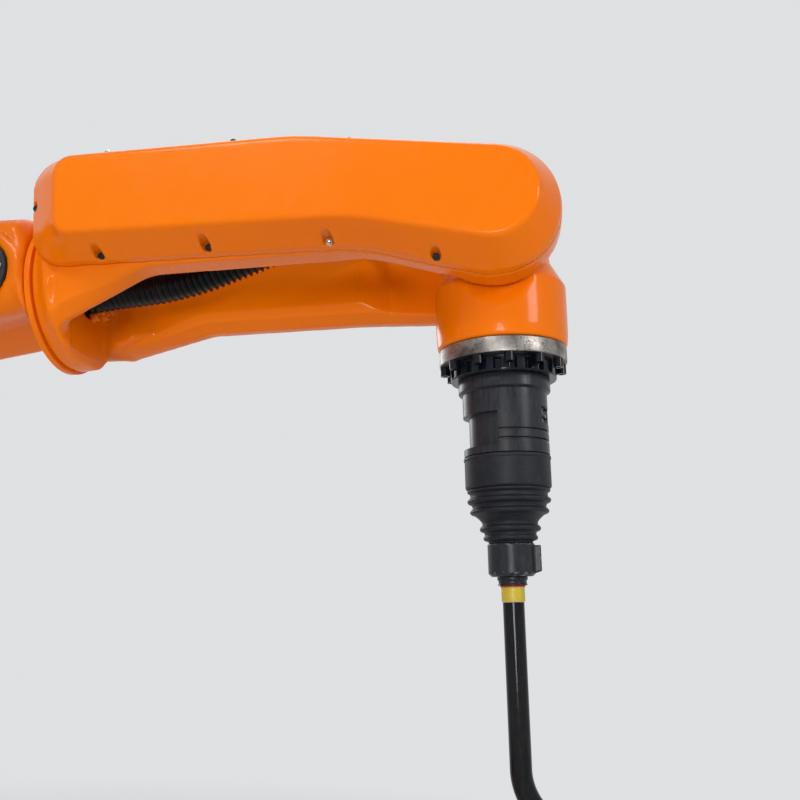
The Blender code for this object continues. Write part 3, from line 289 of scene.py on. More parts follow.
def gathered(parts):
    """Several (points, faces) as one."""
    points, faces, start = [], [], 0
    for some, kinds in parts:
        points.append(some)
        faces += [kind + start for kind in kinds]
        start += len(some)
    return np.concatenate(points), faces


def put(name, data):
    """A new object of the scene."""
    thing = bpy.data.objects.new(name, data)
    bpy.context.scene.collection.objects.link(thing)
    return thing


def dress(name, points, faces, where, finish, nodes=(), bend=None, sharp=None):
    """A piece from arrays in its body's own frame, origin + x X + y Y + z Z, with its material,
    the body it rides on, and the nodes that it stands for."""
    body, origin, axes = where
    material, slot = finish
    mesh = bpy.data.meshes.new(name)
    faces = faces if isinstance(faces, list) else [faces]
    sizes = np.concatenate([np.full(len(kind), kind.shape[1]) for kind in faces])
    corners = np.concatenate([kind.ravel() for kind in faces])
    mesh.vertices.add(len(points))
    mesh.vertices.foreach_set("co", (origin + points @ axes).astype(np.float32).ravel())
    mesh.loops.add(len(corners))
    mesh.loops.foreach_set("vertex_index", corners.astype(np.int32))
    mesh.polygons.add(len(sizes))
    mesh.polygons.foreach_set("loop_start", (np.cumsum(sizes) - sizes).astype(np.int32))
    mesh.polygons.foreach_set("use_smooth", np.ones(len(sizes), bool))
    mesh.update(calc_edges=True)
    mesh.validate()
    if bend is not None:
        mark = mesh.attributes.new("bend", "FLOAT", "POINT")
        bend = np.clip(bend * BEND_SCALE, -1.0, 1.0)
        mark.data.foreach_set("value", bend.astype(np.float32))
    if sharp is not None:
        mesh.set_sharp_from_angle(angle=radians(sharp))
    mesh.materials.append(material)
    thing = put(name, mesh)
    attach(thing, body)
    if nodes:
        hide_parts(*nodes)


def cast(name, field, low, high, cell, where, nodes=(), finish=None):
    """A casting skinned from its field."""
    points, quads, bend = skin(field, low, high, cell)
    dress(name, points, quads, where, finish or CASTING, nodes, bend)


def round_piece(name, profile, soft, where, finish, nodes=(), sides=96, swell=None,
                spot=(0.0, 0.0, 0.0), along=(0.0, 0.0, 1.0)):
    """A turned piece on a spot, its axis along a direction."""
    points, faces = turned(profile, soft, sides, swell)
    dress(name, aimed(points, spot, along), faces, where, finish, nodes, sharp=30.0)


# Finishes

def linked(tree, node, links):
    """A node whose inputs, by name or index, are linked to a socket or set to a value."""
    for where, what in links:
        if isinstance(what, bpy.types.NodeSocket):
            tree.links.new(what, node.inputs[where])
        else:
            node.inputs[where].default_value = what
    return node


def add(tree, kind, links=(), **settings):
    """A node with its settings and links."""
    node = tree.nodes.new("ShaderNode" + kind)
    for key, value in settings.items():
        setattr(node, key, value)
    return linked(tree, node, links)


def noise(tree, vector, scale, detail=2.0, rough=0.5):
    """A noise's value from 0 to 1."""
    return add(tree, "TexNoise", (("Vector", vector), ("Scale", scale), ("Detail", detail),
                                  ("Roughness", rough))).outputs["Fac"]


def joined(tree, operation, one, two):
    """Two values made one by a Math node's operation."""
    return add(tree, "Math", ((0, one), (1, two)), operation=operation).outputs[0]


def span(tree, value, low, high, to_low=0.0, to_high=1.0):
    """A value mapped from one range to another, held at its ends."""
    return add(tree, "MapRange", (("Value", value), ("From Min", low), ("From Max", high),
                                  ("To Min", to_low), ("To Max", to_high))).outputs["Result"]


def blend_of(tree, share, one, two):
    """Two colours mixed by a share from 0 to 1."""
    one, two = (what if isinstance(what, bpy.types.NodeSocket) else (*what, 1.0)
                for what in (one, two))
    return add(tree, "Mix", ((0, share), (6, one), (7, two)), data_type="RGBA").outputs[2]


def node_group(name, build, gives, **takes):
    """A shader node group that takes a vector and the named numbers, and gives the named ones,
    in the order in which build returns them."""
    group = bpy.data.node_groups.new(name, "ShaderNodeTree")
    sockets, number = group.interface, "NodeSocketFloat"
    sockets.new_socket("Vector", in_out="INPUT", socket_type="NodeSocketVector")
    for label, value in takes.items():
        sockets.new_socket(label, in_out="INPUT", socket_type=number).default_value = value
    for label in gives:
        sockets.new_socket(label, in_out="OUTPUT", socket_type=number)
    start, end = group.nodes.new("NodeGroupInput"), group.nodes.new("NodeGroupOutput")
    linked(group, end, zip(gives, build(group, start.outputs)))
    return group


def dust_wear_light_build(tree, takes):
    """Patches of settled dust, coarse noise times fine noise; painted shade, a darkening in
    creases;
    painted highlight, a brightening on ridges; and specks on the ridges that are worn bright."""
    bend = add(tree, "Attribute", attribute_name="bend").outputs["Fac"]
    coarse = noise(tree, takes["Vector"], 7.0, 4.0, 0.6)
    fine = noise(tree, takes["Vector"], 90.0, 5.0, 0.7)
    grain = noise(tree, takes["Vector"], 260.0, 3.0)
    ridge = span(tree, bend, 0.35, 1.0)
    # The second output marks creases for painted shade, the third marks ridges for painted
    # highlight.
    return (span(tree, joined(tree, "MULTIPLY", coarse, fine), 0.22, 0.42),
            joined(tree, "MULTIPLY", span(tree, bend, -0.9, -0.1, 1.0, 0.0), fine),
            ridge, joined(tree, "MULTIPLY", ridge, span(tree, grain, 0.55, 0.62)))


def peel_build(tree, takes):
    """Sprayed paint's ripple over a cast skin: fine and coarse noise in one height."""
    grown = joined(tree, "MULTIPLY", noise(tree, takes["Vector"], 60.0, 3.0), takes["Cast"])
    return (joined(tree, "ADD", noise(tree, takes["Vector"], 420.0, 2.0), grown),)


def pits_build(tree, takes):
    """Speckles and small pits of a bare steel face: cells kept where a noise is high, and a fine
    grain."""
    cells = add(tree, "TexVoronoi", (("Vector", takes["Vector"]), ("Scale", takes["Scale"])))
    pit = span(tree, cells.outputs["Distance"], 0.1, 0.34, 1.0, 0.0)
    gate = span(tree, noise(tree, takes["Vector"], 70.0, 3.0), 0.42, 0.55)
    return joined(tree, "MULTIPLY", pit, gate), noise(tree, takes["Vector"], 500.0, 4.0, 0.7)


DUST_WEAR_AND_LIGHT = node_group("dust_wear_and_painted_light", dust_wear_light_build, ("Dust", "CreaseShade", "RidgeHighlight", "Worn"))
PEEL = node_group("paint_ripple", peel_build, ("Height",), Cast=1.0)
PITS = node_group("steel_pits", pits_build, ("Pits", "Grain"), Scale=300.0)


def new_finish(name, **fixed):
    """An empty material with its shader's fixed values, its tree, and Object coordinates."""
    material = bpy.data.materials.new(name)
    material.use_nodes = True
    tree = material.node_tree
    linked(tree, tree.nodes["Principled BSDF"],
           [(label.replace("_", " "), value) for label, value in fixed.items()])
    return material, tree, add(tree, "TexCoord").outputs["Object"]


def masks_of(tree, group, coords, **values):
    """A group's outputs at the coordinates, with its values."""
    return add(tree, "Group", [("Vector", coords), *values.items()], node_tree=group).outputs


def layered(tree, grain, ends, colours, masks=None, layers=()):
    """Two colours mixed by a noise between two ends, then each layer's colour over them, up to
    its amount where its mask is high."""
    base = blend_of(tree, span(tree, grain, *ends), *colours)
    for mask, amount, colour in layers:
        base = blend_of(tree, span(tree, masks[mask], 0.0, 1.0, 0.0, amount), base, colour)
    return base


def surfaced(tree, colour, rough, height, depth):
    """The shader's colour, roughness and bump."""
    bump = add(tree, "Bump", (("Height", height), ("Distance", depth), ("Strength", 1.0)))
    linked(tree, tree.nodes["Principled BSDF"],
           (("Base Color", colour), ("Roughness", rough), ("Normal", bump.outputs["Normal"])))


def enamel(name, colours, cast_skin, rough):
    """Sprayed gloss enamel: patchy dust, painted shade in creases, painted highlight on ridges,
    ripple.
    """
    material, tree, coords = new_finish(name, Coat_Weight=0.1, Coat_Roughness=0.05,
                                        Specular_IOR_Level=0.08)
    masks = masks_of(tree, DUST_WEAR_AND_LIGHT, coords)
    # Darker orange layered into creases is painted shade; brighter orange on ridges is painted
    # highlight.
    colour = layered(tree, noise(tree, coords, 3.0, 3.0), (0.3, 0.7), colours, masks,
                     (("Dust", 0.035, (0.62, 0.3, 0.06)), ("CreaseShade", 0.55, (0.2, 0.05, 0.004)),
                      ("RidgeHighlight", 0.12, (1.0, 0.36, 0.02))))
    gloss = joined(tree, "ADD", span(tree, masks["Dust"], 0.0, 1.0, rough, rough + 0.14),
                   span(tree, masks["CreaseShade"], 0.0, 1.0, 0.0, 0.25))
    surfaced(tree, colour, gloss, masks_of(tree, PEEL, coords, Cast=cast_skin)["Height"], 0.00006)
    return material, "orange_enamel"


def grained(name, slot, colours, ends, cloud, layers, rough, depth, stretch=None, **fixed):
    """A finish of one noise, of its scale, detail and roughness, which drives the two colours,
    the surface's roughness and its bump."""
    material, tree, coords = new_finish(name, **fixed)
    masks = masks_of(tree, DUST_WEAR_AND_LIGHT, coords) if layers else None
    if stretch:
        coords = add(tree, "Mapping", (("Vector", coords), ("Scale", stretch))).outputs[0]
    grain = noise(tree, coords, *cloud)
    surfaced(tree, layered(tree, grain, ends, colours, masks, layers),
             span(tree, grain, 0.2, 0.8, *rough), grain, depth)
    return material, slot


def dark_metal(name, colour, rough, gleam, dust, slot="black_metal", **fixed):
    """Anodised, painted or bare metal: fine scratches, dust and worn bright edges."""
    pale = tuple(c * 1.7 + 0.004 for c in colour)
    return grained(name, slot, (colour, pale), (0.35, 0.75), (1.0, 4.0, 0.6),
                   (("Dust", dust, (0.16, 0.14, 0.12)), ("Worn", gleam, (0.3, 0.31, 0.33))),
                   (rough - 0.07, rough + 0.1), 0.00003, (400.0, 400.0, 60.0), **fixed)


def soft_black(name, slot, colour, rough, scale, depth):
    """Rubber or moulded plastic: fine grain and pale dust."""
    return grained(name, slot, (colour, tuple(c * 1.6 for c in colour)), (0.3, 0.7),
                   (scale, 4.0, 0.6), (("Dust", 0.1, (0.12, 0.105, 0.09)),),
                   (rough - 0.06, rough + 0.1), depth, **DULL)


def pitted_steel():
    """Bare flange steel: speckled with dark pits and rust-brown specks."""
    material, tree, coords = new_finish("pitted_steel", Metallic=1.0)
    pits = masks_of(tree, PITS, coords, Scale=330.0)
    colour = layered(tree, noise(tree, coords, 40.0, 4.0), (0.38, 0.62),
                     ((0.33, 0.31, 0.29), (0.1, 0.088, 0.08)), pits,
                     (("Pits", 0.95, (0.02, 0.014, 0.012)),))
    surfaced(tree, colour, span(tree, pits["Grain"], 0.3, 0.7, 0.28, 0.5),
             joined(tree, "SUBTRACT", pits["Grain"], pits["Pits"]), 0.0001)
    return material, "ring_steel"


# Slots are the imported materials' names
DULL = {"Metallic": 0.0, "Specular_IOR_Level": 0.18}
ENAMEL = enamel("orange_enamel", ((0.88, 0.188, 0.0008), (0.84, 0.168, 0.0007)), 1.2, 0.2)
CASTING = enamel("cast_enamel", ((0.85, 0.178, 0.0008), (0.79, 0.15, 0.0007)), 3.0, 0.28)
DARK = dark_metal("dark_blue_metal", (0.013, 0.0142, 0.0185), 0.3, 0.35, 0.05, **DULL)
GLOSS = dark_metal("gloss_blue_black", (0.0035, 0.0045, 0.008), 0.14, 0.35, 0.03, **DULL)
MOTOR = dark_metal("motor_black", (0.014, 0.014, 0.016), 0.42, 0.15, 0.16, **DULL)
TUBE = dark_metal("gloss_black_tube", (0.003, 0.0032, 0.0042), 0.1, 0.1, 0.02, **DULL)
SCREW = dark_metal("screw_steel", (0.42, 0.42, 0.41), 0.27, 0.2, 0.16, "ring_steel", Metallic=1.0)
RUBBER = soft_black("dull_rubber", "rubber", (0.0085, 0.0098, 0.0135), 0.46, 300.0, 0.00004)
HOSE = soft_black("corrugated_black", "rubber", (0.0028, 0.0028, 0.0034), 0.3, 180.0, 0.00002)
PLASTIC = soft_black("moulded_black", "black_plastic", (0.018, 0.018, 0.02), 0.46, 500.0, 0.00004)
SEAL = soft_black("red_seal", "rubber", (0.34, 0.014, 0.008), 0.4, 300.0, 0.00002)
STEEL = pitted_steel()
SLEEVE = grained("yellow_sleeve", "yellow_label", ((0.56, 0.43, 0.02), (0.46, 0.34, 0.018)),
                 (0.0, 1.0), (160.0, 3.0), (("Dust", 0.2, (0.35, 0.28, 0.12)),), (0.32, 0.5),
                 0.00002, Metallic=0.0)
COPPER = grained("nozzle_copper", "copper", ((0.7, 0.34, 0.19), (0.33, 0.15, 0.1)), (0.4, 0.65),
                 (55.0, 4.0, 0.6), (), (0.24, 0.48), 0.00003, Metallic=1.0)


# Forearm, measured from the wrist axis along the roll axis
FORK_NEAR, FORK_FAR = 0.095, 0.103
BELL_BACK, BELL_FRONT = -0.4739, -0.4489
END_WALL = -0.45


def arm_outline(end, extra=0.0, lift=0.0):
    """Outline of one fork arm, with an extra depth along its lower edge, or its tail lifted."""
    return belt([(0.0, 0.0, end, 1), (-0.215, -0.199, 0.3, 1), (-0.4205, 0.078, 0.034, 1),
                 (-0.446, -0.042 - extra + lift, 0.0085, 1),
                 (-0.34, -0.0705 - extra, 0.06, -1), (-0.175, -0.239 - extra, 0.22, -1)])


NEAR_ARM, NEAR_LIFTED = arm_outline(0.064), arm_outline(0.064, lift=0.03)
FAR_SHALLOW, FAR_DEEP = arm_outline(0.054, -0.00475), arm_outline(0.054, 0.019, 0.0215)
CHANNEL = belt([(-0.418, -0.0548, 0.008, 1), (0.2, -0.0548, 0.008, 1),
                (0.2, 0.0548, 0.008, 1), (-0.402, 0.0508, 0.012, 1),
                (-0.438, 0.025, 0.012, 1), (-0.44, -0.037, 0.01, 1)])
BOSSES = ((0.0074, -0.02), (0.031, -0.0128), (0.019, -0.0094), (0.0456, -0.001))


def forearm_field(x, y, z):
    """Near and far fork arms, the near one's tail lifted towards its outside, the far one deeper
    away from the channel, and the bell behind them, a circle that flares into a soft rectangle;
    less the channel, the hose's bore and the ring swept by the wrist; plus the two pivot hubs and
    four small bosses on the end wall."""
    across = (-y - 0.0588) / 0.0362
    share = np.interp(across, [0.0, 0.35, 0.75, 1.0], [0.0, 0.0, 0.35, 1.0])
    plain, lifted = gap_to(NEAR_ARM, x, z), gap_to(NEAR_LIFTED, x, z)
    edge = np.interp(x, [-0.43, -0.36, -0.3], [0.024, 0.01, 0.004])
    near = trim(plain + (lifted - plain) * share, between(y, -FORK_NEAR, -0.05), edge)
    share = np.interp(y, [0.0588, 0.0676, 0.0862, 0.103], [0.0, 0.64, 1.0, 1.0])
    shallow, deep = gap_to(FAR_SHALLOW, x, z), gap_to(FAR_DEEP, x, z)
    far = slab(shallow + (deep - shallow) * share, y, 0.05, FORK_FAR, 0.005)
    knots = [BELL_BACK, -0.4652, -0.4577, -0.4527, BELL_FRONT]
    run = np.interp(x, knots, [0.0, 0.25, 0.65, 0.92, 1.0])
    power = np.interp(x, knots, [2.0, 2.2, 2.5, 2.8, 2.8])
    wide, tall = 0.08 + 0.0182 * run, 0.08 + 0.0142 * run
    over = np.abs(y - 0.004 * run) / wide
    rise = np.abs(z - 0.017 * run) / tall
    bell = ((over ** power + rise ** power + 1e-12) ** (1.0 / power) - 1.0) * 0.08
    steep = 0.789 * (y - 0.032) - 0.614 * (z + 0.072)
    gentle = 0.261 * (y - 0.036) - 0.965 * (z + 0.064)
    bell = trim(bell * 0.8, merge(steep, gentle, 0.006), 0.006)
    bell = slab(bell, x, BELL_BACK, BELL_FRONT, 0.004)
    solid = merge(merge(near, far, 0.004), bell, 0.011)
    solid = carve(solid, gap_to(CHANNEL, x, y), 0.0035)
    bore = trim(np.hypot(y, z) - 0.024, x + 0.43, 0.001)
    solid = carve(solid, bore, 0.002)
    far_out = np.hypot(x, z)
    depth = 0.0713 - 0.0085 * np.clip((far_out - 0.131) / 0.026, 0.0, 1.0)
    sweep = trim(between(far_out, 0.0645, 0.16), np.abs(y) - depth, 0.002)
    solid = carve(solid, sweep, 0.002)
    for v, w in BOSSES:
        boss = slab(np.hypot(y - v, z - w) - 0.005, x, END_WALL - 0.004, -0.4432, 0.001)
        boss = carve(boss, np.maximum(np.hypot(y - v, z - w) - 0.0021, -0.4465 - x), 0.0006)
        solid = merge(solid, boss, 0.0015)
    hub = slab(far_out - 0.036, np.abs(y), 0.058, 0.068, 0.001)
    return merge(solid, hub, 0.001)


def cover_outline(share, smaller=0.0):
    """Outline of a forearm cover, from its foot at share 0 to its face at share 1."""
    back, low = -0.461 + 0.045 * share, 0.002 - 0.015 * share
    corner, end = 0.034 - 0.018 * share, 0.064 - 0.021 * share - smaller
    top = 0.112 - 0.02 * share
    waist, drop = 0.22 + 0.02 * share, 0.019 - 0.015 * share
    return belt([(0.0, 0.0, end, 1), (-0.215, top - 0.311, 0.3, 1),
                 (back + corner, top - corner, corner, 1),
                 (back + corner, corner - low, corner, 1), (-0.175, -drop - waist, waist, -1)])


# Forearm covers: their screws, the scoops down to them, and their depth from the casting
COVER_SCREWS = np.array([(-0.3846, 0.0005), (-0.2743, -0.0052), (-0.1555, -0.0152),
                         (-0.056, -0.043), (-0.3785, 0.1105), (-0.2467, 0.102),
                         (-0.1309, 0.086), (-0.029, 0.065), (-0.454, 0.0602)])
# These screws are lit copies in bright steel and the rest are shaded copies in dark metal: painted
# light and shade on one kind of screw.
LIT_SCREWS = [2, 4, 7]
SCOOP, SCOOP_FLOOR = 0.005, 0.0085
COVER_DEPTH = 0.047


def cover_solid(smaller):
    """The field of a cover by its depth from the casting: its foot's outline mixed into its
    face's, closed by the face with a round edge, less a scoop down to each screw."""
    low, high = cover_outline(0.0, smaller), cover_outline(1.0, smaller)

    def field(x, depth, z):
        """Foot plus the share of the way to the face, less the scoops."""
        share = np.interp(depth, [0.0, 0.01, 0.03, COVER_DEPTH], [0.0, 0.07, 0.56, 1.0])
        foot, face = gap_to(low, x, z), gap_to(high, x, z)
        side = foot + (face - foot) * share
        solid = slab(side, depth, -0.02, COVER_DEPTH, 0.004)
        for u, v in COVER_SCREWS:
            scoop = np.maximum(np.hypot(x - u, z - v) - SCOOP, SCOOP_FLOOR - depth)
            solid = carve(solid, scoop, 0.0012)
        return np.maximum(solid, -depth)

    return field


def socket_screw(radius, height):
    """A socket-head screw on the plane z = 0: its head with a soft rim and a hexagonal socket,
    whose radius is the apothem over the cosine of the angle from the nearest flat."""
    floor, hexagon = height * 0.45, radius * 0.5
    points, faces = turned([(hexagon * 0.9, floor), (hexagon, floor + 0.0001), (hexagon, height),
                            (radius * 0.93, height), (radius, height - radius * 0.07),
                            (radius, 0.0)], 0.0, 24)
    angle = np.arctan2(points[:, 1], points[:, 0])
    flat = np.abs((angle + pi / 6.0) % (pi / 3.0) - pi / 6.0)
    out = np.hypot(points[:, 0], points[:, 1])
    inner = (out < hexagon * 1.01) & (out > 0.0)
    points[inner, :2] *= (0.93 / np.cos(flat[inner]))[:, None]
    return points, faces


def screws(name, spots, along, radius, height, where, finish=SCREW):
    """A set of socket-head screws, all facing one way."""
    base, faces = socket_screw(radius, height)
    points, faces = gathered([(aimed(base, spot, along), faces) for spot in spots])
    dress(name, points, faces, where, finish, sharp=35.0)


def make_forearm():
    """Flange, fork casting, two covers with their screws, hose and bracket."""
    cast("fork_casting", forearm_field, (BELL_BACK, -FORK_NEAR, -0.09), (0.064, FORK_FAR, 0.112),
         0.0028, FORE, ["forearm_casting"], ENAMEL)
    for name, sign, plane, less in (("cover_near", -1.0, FORK_NEAR, 0.0),
                                    ("cover_far", 1.0, FORK_FAR, 0.01)):
        points, quads, bend = skin(cover_solid(less), (-0.461, 0.0, -0.065),
                                   (0.064, COVER_DEPTH, 0.112), 0.0024)
        points[:, 1] = sign * (plane + TOUCH + points[:, 1])
        if sign < 0.0:
            quads = quads[:, ::-1]
        dress(name + "_shell", points, quads, FORE, ENAMEL, [name], bend)
        spots = [(u, sign * (plane + SCOOP_FLOOR + 0.0002), v) for u, v in COVER_SCREWS]
        lit_spots = [spots[k] for k in LIT_SCREWS]
        shaded_spots = [spot for spot in spots if spot not in lit_spots]
        # Lit copies take bright steel and shaded copies take dark metal: painted light and shade.
        for label, some, finish in (("_lit_screws", lit_spots, SCREW),
                                    ("_shaded_screws", shaded_spots, (DARK[0], "ring_steel"))):
            screws(name + label, some, (0.0, sign, 0.0), 0.0036, 0.0028, FORE, finish)
    round_piece("joint_flange", [(0.0245, 0.0065), (0.083, 0.0065), (0.083, 0.0), (0.0245, 0.0)],
                0.0012, FORE, ENAMEL, ["roll_flange"], 128, None, (-0.4807, 0.0, 0.0),
                (1.0, 0.0, 0.0))
    make_hose()


# Hose: its clamp's place, and the knots of its path, in the forearm's frame
CLAMP_AT, CLAMP_RISE = -0.142, 0.042
HOSE_KNOTS = [(-0.468, 0.0), (-0.4199, 0.0029), (-0.3852, 0.0029), (-0.3501, 0.005),
              (-0.3149, 0.0109), (-0.2798, 0.0202), (-0.2403, 0.0311), (-0.1998, 0.0391),
              (-0.1647, 0.042), (-0.142, 0.042), (-0.1252, 0.042)]


def corrugated(name, knots, count, pitch, radius, rib, power, across, sides, where, nodes):
    """Corrugated tube: thin ribs on a plain wall, its radius along the path a narrow bump at each
    pitch, a raised cosine to a power."""
    path, run = route(knots, count)
    wave = 0.5 + 0.5 * np.cos(2.0 * pi * run / pitch)
    points, faces = swept(path, radius + rib * wave ** power, across, sides)
    dress(name, points, faces, where, HOSE, nodes)


def make_hose():
    """Corrugated hose, and the clamp that holds it between the fork arms."""
    corrugated("corrugated_hose", [(u, 0.0, v) for u, v in HOSE_KNOTS], 520, 0.0066, 0.0166,
               0.0032, 3, (0.0, 1.0, 0.0), 44, FORE, ["cable_hose"])
    cast("hose_clamp", bracket_field, (-0.153, -0.0625, 0.014), (-0.131, 0.0625, 0.07), 0.0014,
         FORE, ["hose_bracket"], DARK)
    screws("hose_clamp_screws", [(CLAMP_AT, y, 0.0492) for y in (-0.034, 0.034)], (0.0, 0.0, 1.0),
           0.0045, 0.0045, FORE)


def bracket_field(x, y, z):
    """Saddle over the hose with an arm and a foot on each side, split along its middle."""
    rise, along = z - CLAMP_RISE, np.abs(x - CLAMP_AT)
    ring = trim(np.hypot(y, rise) - 0.0236, along - 0.005, 0.001)
    arm = trim(trim(np.abs(rise) - 0.007, along - 0.005, 0.001), np.abs(y) - 0.062, 0.001)
    foot = slab(rounded(x, z, (-0.1525, 0.034), (-0.1315, 0.058), 0.003),
                np.abs(y), 0.0565, 0.0624, 0.0008)
    solid = merge(merge(ring, arm, 0.004), foot, 0.002)
    solid = carve(solid, np.hypot(y, rise) - 0.0201, 0.0006)
    solid = trim(solid, 0.0345 - z, 0.001)
    return carve(solid, np.maximum(np.abs(rise) - 0.0008, 0.022 - np.abs(y)), 0.0004)


# Wrist: its drum's rear face, and its barrel's half width
DRUM_REAR, BARREL_HALF = -0.1117, 0.0575


def wrist_field(x, y, z):
    """Wrist: a cone that widens into a drum, crossed by the pivot barrel and cut by a slanted
    flat on each side."""
    out = np.hypot(x, y)
    cone = np.interp(z, [-0.112, -0.1, -0.081, -0.05, -0.016, 0.05],
                     [0.0648, 0.0662, 0.0666, 0.0666, 0.048, 0.012])
    drum = slab((out - cone) * 0.93, z, DRUM_REAR, -0.0145, 0.004)
    slope = 0.0091 / 0.025
    flat = (np.abs(y) - BARREL_HALF - slope * np.maximum(-0.056 - z, 0.0)) * 0.94
    barrel = trim(np.hypot(x, z) - 0.05, np.abs(y) - BARREL_HALF, 0.003)
    drum = trim(drum, flat, 0.0015)
    return np.maximum(merge(drum, barrel, 0.006), np.maximum(DRUM_REAR - z, flat - 0.0002))


# Flange ring: its bolts, and its lower face
RING_BOLTS = 12
RING_LOW = -0.1278


def tool_angle_mask(angle, low, high, soft):
    """1 inside a span of angles and 0 outside, with soft ends."""
    middle, half = (low + high) / 2.0, (high - low) / 2.0
    away = np.abs((angle - middle + pi) % (2.0 * pi) - pi)
    return np.clip((half - away) / soft, 0.0, 1.0)


def layer_mask(z, low, high, soft):
    """1 inside a span of heights and 0 outside, with soft ends."""
    return np.clip(np.minimum(z - low, high - z) / soft, 0.0, 1.0)


def body_swell(angle, z):
    """Two grooves round the sensor body, a recess on its camera-left side that is deeper than
    they are, and a small notch with two slots on its right."""
    left = tool_angle_mask(angle, radians(150), radians(262), 0.03)
    left = left * layer_mask(z, -0.2125, -0.18, 0.0006)
    grooves = layer_mask(z, -0.1989, -0.1965, 0.0003) + layer_mask(z, -0.2079, -0.2055, 0.0003)
    right = tool_angle_mask(angle, radians(-32), radians(8), 0.03)
    short = layer_mask(z, -0.19, -0.1735, 0.0006) * right
    bar = layer_mask(z, -0.1836, -0.18, 0.0003)
    return -np.maximum(0.0058 * left, 0.0022 * grooves) - 0.0044 * short * (1.0 - 0.6 * bar)


# Rings of the tool: name, profile, softening, finish, nodes and sides
TOOL_RINGS = (
    ("sleeve_skin", [(0.0405, -0.2197), (0.0428, -0.2207), (0.0428, -0.2232), (0.0421, -0.2242),
                     (0.0421, -0.25), (0.041, -0.2517)], 0.0012, RUBBER, ["rubber_sleeve"], 128),
    ("bellows_skin", [(0.0405, -0.252), (0.0405, -0.2545), (0.0378, -0.256), (0.0378, -0.26),
                      (0.04, -0.2612), (0.041, -0.263), (0.04, -0.265), (0.0365, -0.2665),
                      (0.0355, -0.27), (0.0375, -0.2715), (0.0387, -0.2735), (0.0375, -0.2755),
                      (0.0335, -0.277), (0.03, -0.28), (0.027, -0.2835), (0.0268, -0.2865),
                      (0.029, -0.288), (0.0298, -0.29), (0.0288, -0.292), (0.0252, -0.2935),
                      (0.0248, -0.296), (0.0258, -0.2972), (0.0265, -0.299), (0.0256, -0.3008),
                      (0.0215, -0.3022), (0.0213, -0.304)], 0.001, RUBBER, ["bellows"], 112))
# Rings of the torch, 64 sides each
TORCH_RINGS = (
    ("ferrule_ring", [(0.0146, -0.3356), (0.0146, -0.3385), (0.0135, -0.3392), (0.0135, -0.342),
                      (0.0142, -0.3425), (0.0142, -0.3436)], 0.0005, DARK, ["ferrule"]),
    ("red_seal_ring", [(0.0122, -0.34365), (0.0122, -0.345)], 0.0003, SEAL, ()),
    ("label_sleeve", [(0.0112, -0.3439), (0.0112, -0.3589)], 0.0006, SLEEVE, ["label_band"]))
# Nozzle and tip, from the tube's mouth; the tube's top, straight run, bend and turn
NOZZLE = [(0.0075, 0.0382), (0.0075, 0.068), (0.01, 0.068), (0.013, 0.034),
          (0.013, 0.0235), (0.0123, 0.023), (0.0123, 0.0212), (0.013, 0.0207),
          (0.013, 0.0045), (0.012, 0.0035), (0.012, 0.0)]
TIP = [(0.0009, 0.069), (0.0009, 0.072), (0.0024, 0.072), (0.004, 0.0665), (0.004, 0.0385)]
TUBE_TOP, TUBE_STRAIGHT, TUBE_BEND, TUBE_TURN = -0.3592, 0.15, 0.055, radians(35.0)


def make_tool():
    """Wrist, pitted steel ring, castellated adapter, sensor body, sleeve, bellows and torch."""
    cast("wrist_drum", wrist_field, (-0.067, -0.067, -0.112), (0.067, 0.067, 0.05), 0.0019,
         HAND, ["wrist_housing"], ENAMEL)
    round_piece("flange_ring", [(0.064, -0.1123), (0.064, RING_LOW)], 0.0014, TOOL, STEEL,
                ["wrist_ring"], 160)
    spots = [(0.0585 * cos(a), 0.0585 * sin(a), RING_LOW)
             for a in radians(8.0) + np.arange(RING_BOLTS) * 2.0 * pi / RING_BOLTS]
    screws("ring_bolts", spots, (0.0, 0.0, -1.0), 0.0048, 0.0088, TOOL, GLOSS)
    top = RING_LOW - TOUCH

    def castle(angle, z):
        """Fins round the adapter: the radius falls by the slot's depth between the fins."""
        slot = np.clip((np.sin(angle * 22.0) - 0.15) * 6.0, 0.0, 1.0)
        return -0.006 * slot * ((z < top - 0.003) & (z > top - 0.0132))

    rim = [(0.053, top - drop) for drop in (0.0, 0.0024, 0.0031, 0.006, 0.01, 0.0131, 0.0134)]
    round_piece("castellated_adapter", [(0.05, top), *rim, (0.0525, top - 0.015)], 0.0, TOOL,
                GLOSS, ["adapter_ring"], 440, castle)
    top = -0.1434
    body = [(0.0455, top), (0.0457, top - 0.0005), (0.0457, top - 0.012), (0.0452, top - 0.0128),
            (0.0436, -0.1568), (0.0428, -0.1574), (0.042, -0.1578)]
    body += [(0.042, z) for z in np.linspace(-0.16, -0.214, 151)]
    round_piece("sensor_can", body + [(0.042, -0.2194)], 0.0, TOOL, DARK, ["sensor_body"], 180,
                body_swell)
    for name, profile, soft, finish, nodes, sides in TOOL_RINGS:
        round_piece(name, profile, soft, TOOL, finish, nodes, sides)
    make_torch()


# Clamp collar's ends
COLLAR_LOW, COLLAR_TOP = -0.3353, -0.3043


def collar_field(x, y, z):
    """Clamp collar with a bevelled foot, its screw lug on +X, and the slot between its jaws."""
    out = np.hypot(x, y)
    ring = slab(out - 0.0228 + np.maximum(-0.3323 - z, 0.0), z, COLLAR_LOW, COLLAR_TOP, 0.0006)
    lug = trim(np.abs(y) - 0.0075, between(z, -0.3323 + 0.3 * (x - 0.0228), -0.3062), 0.0012)
    lug = slab(lug, x, 0.0, 0.0285, 0.0008)
    slot = np.maximum(np.abs(y) - 0.0012, 0.0168 - x)
    return carve(merge(ring, lug, 0.001), slot, 0.0005)


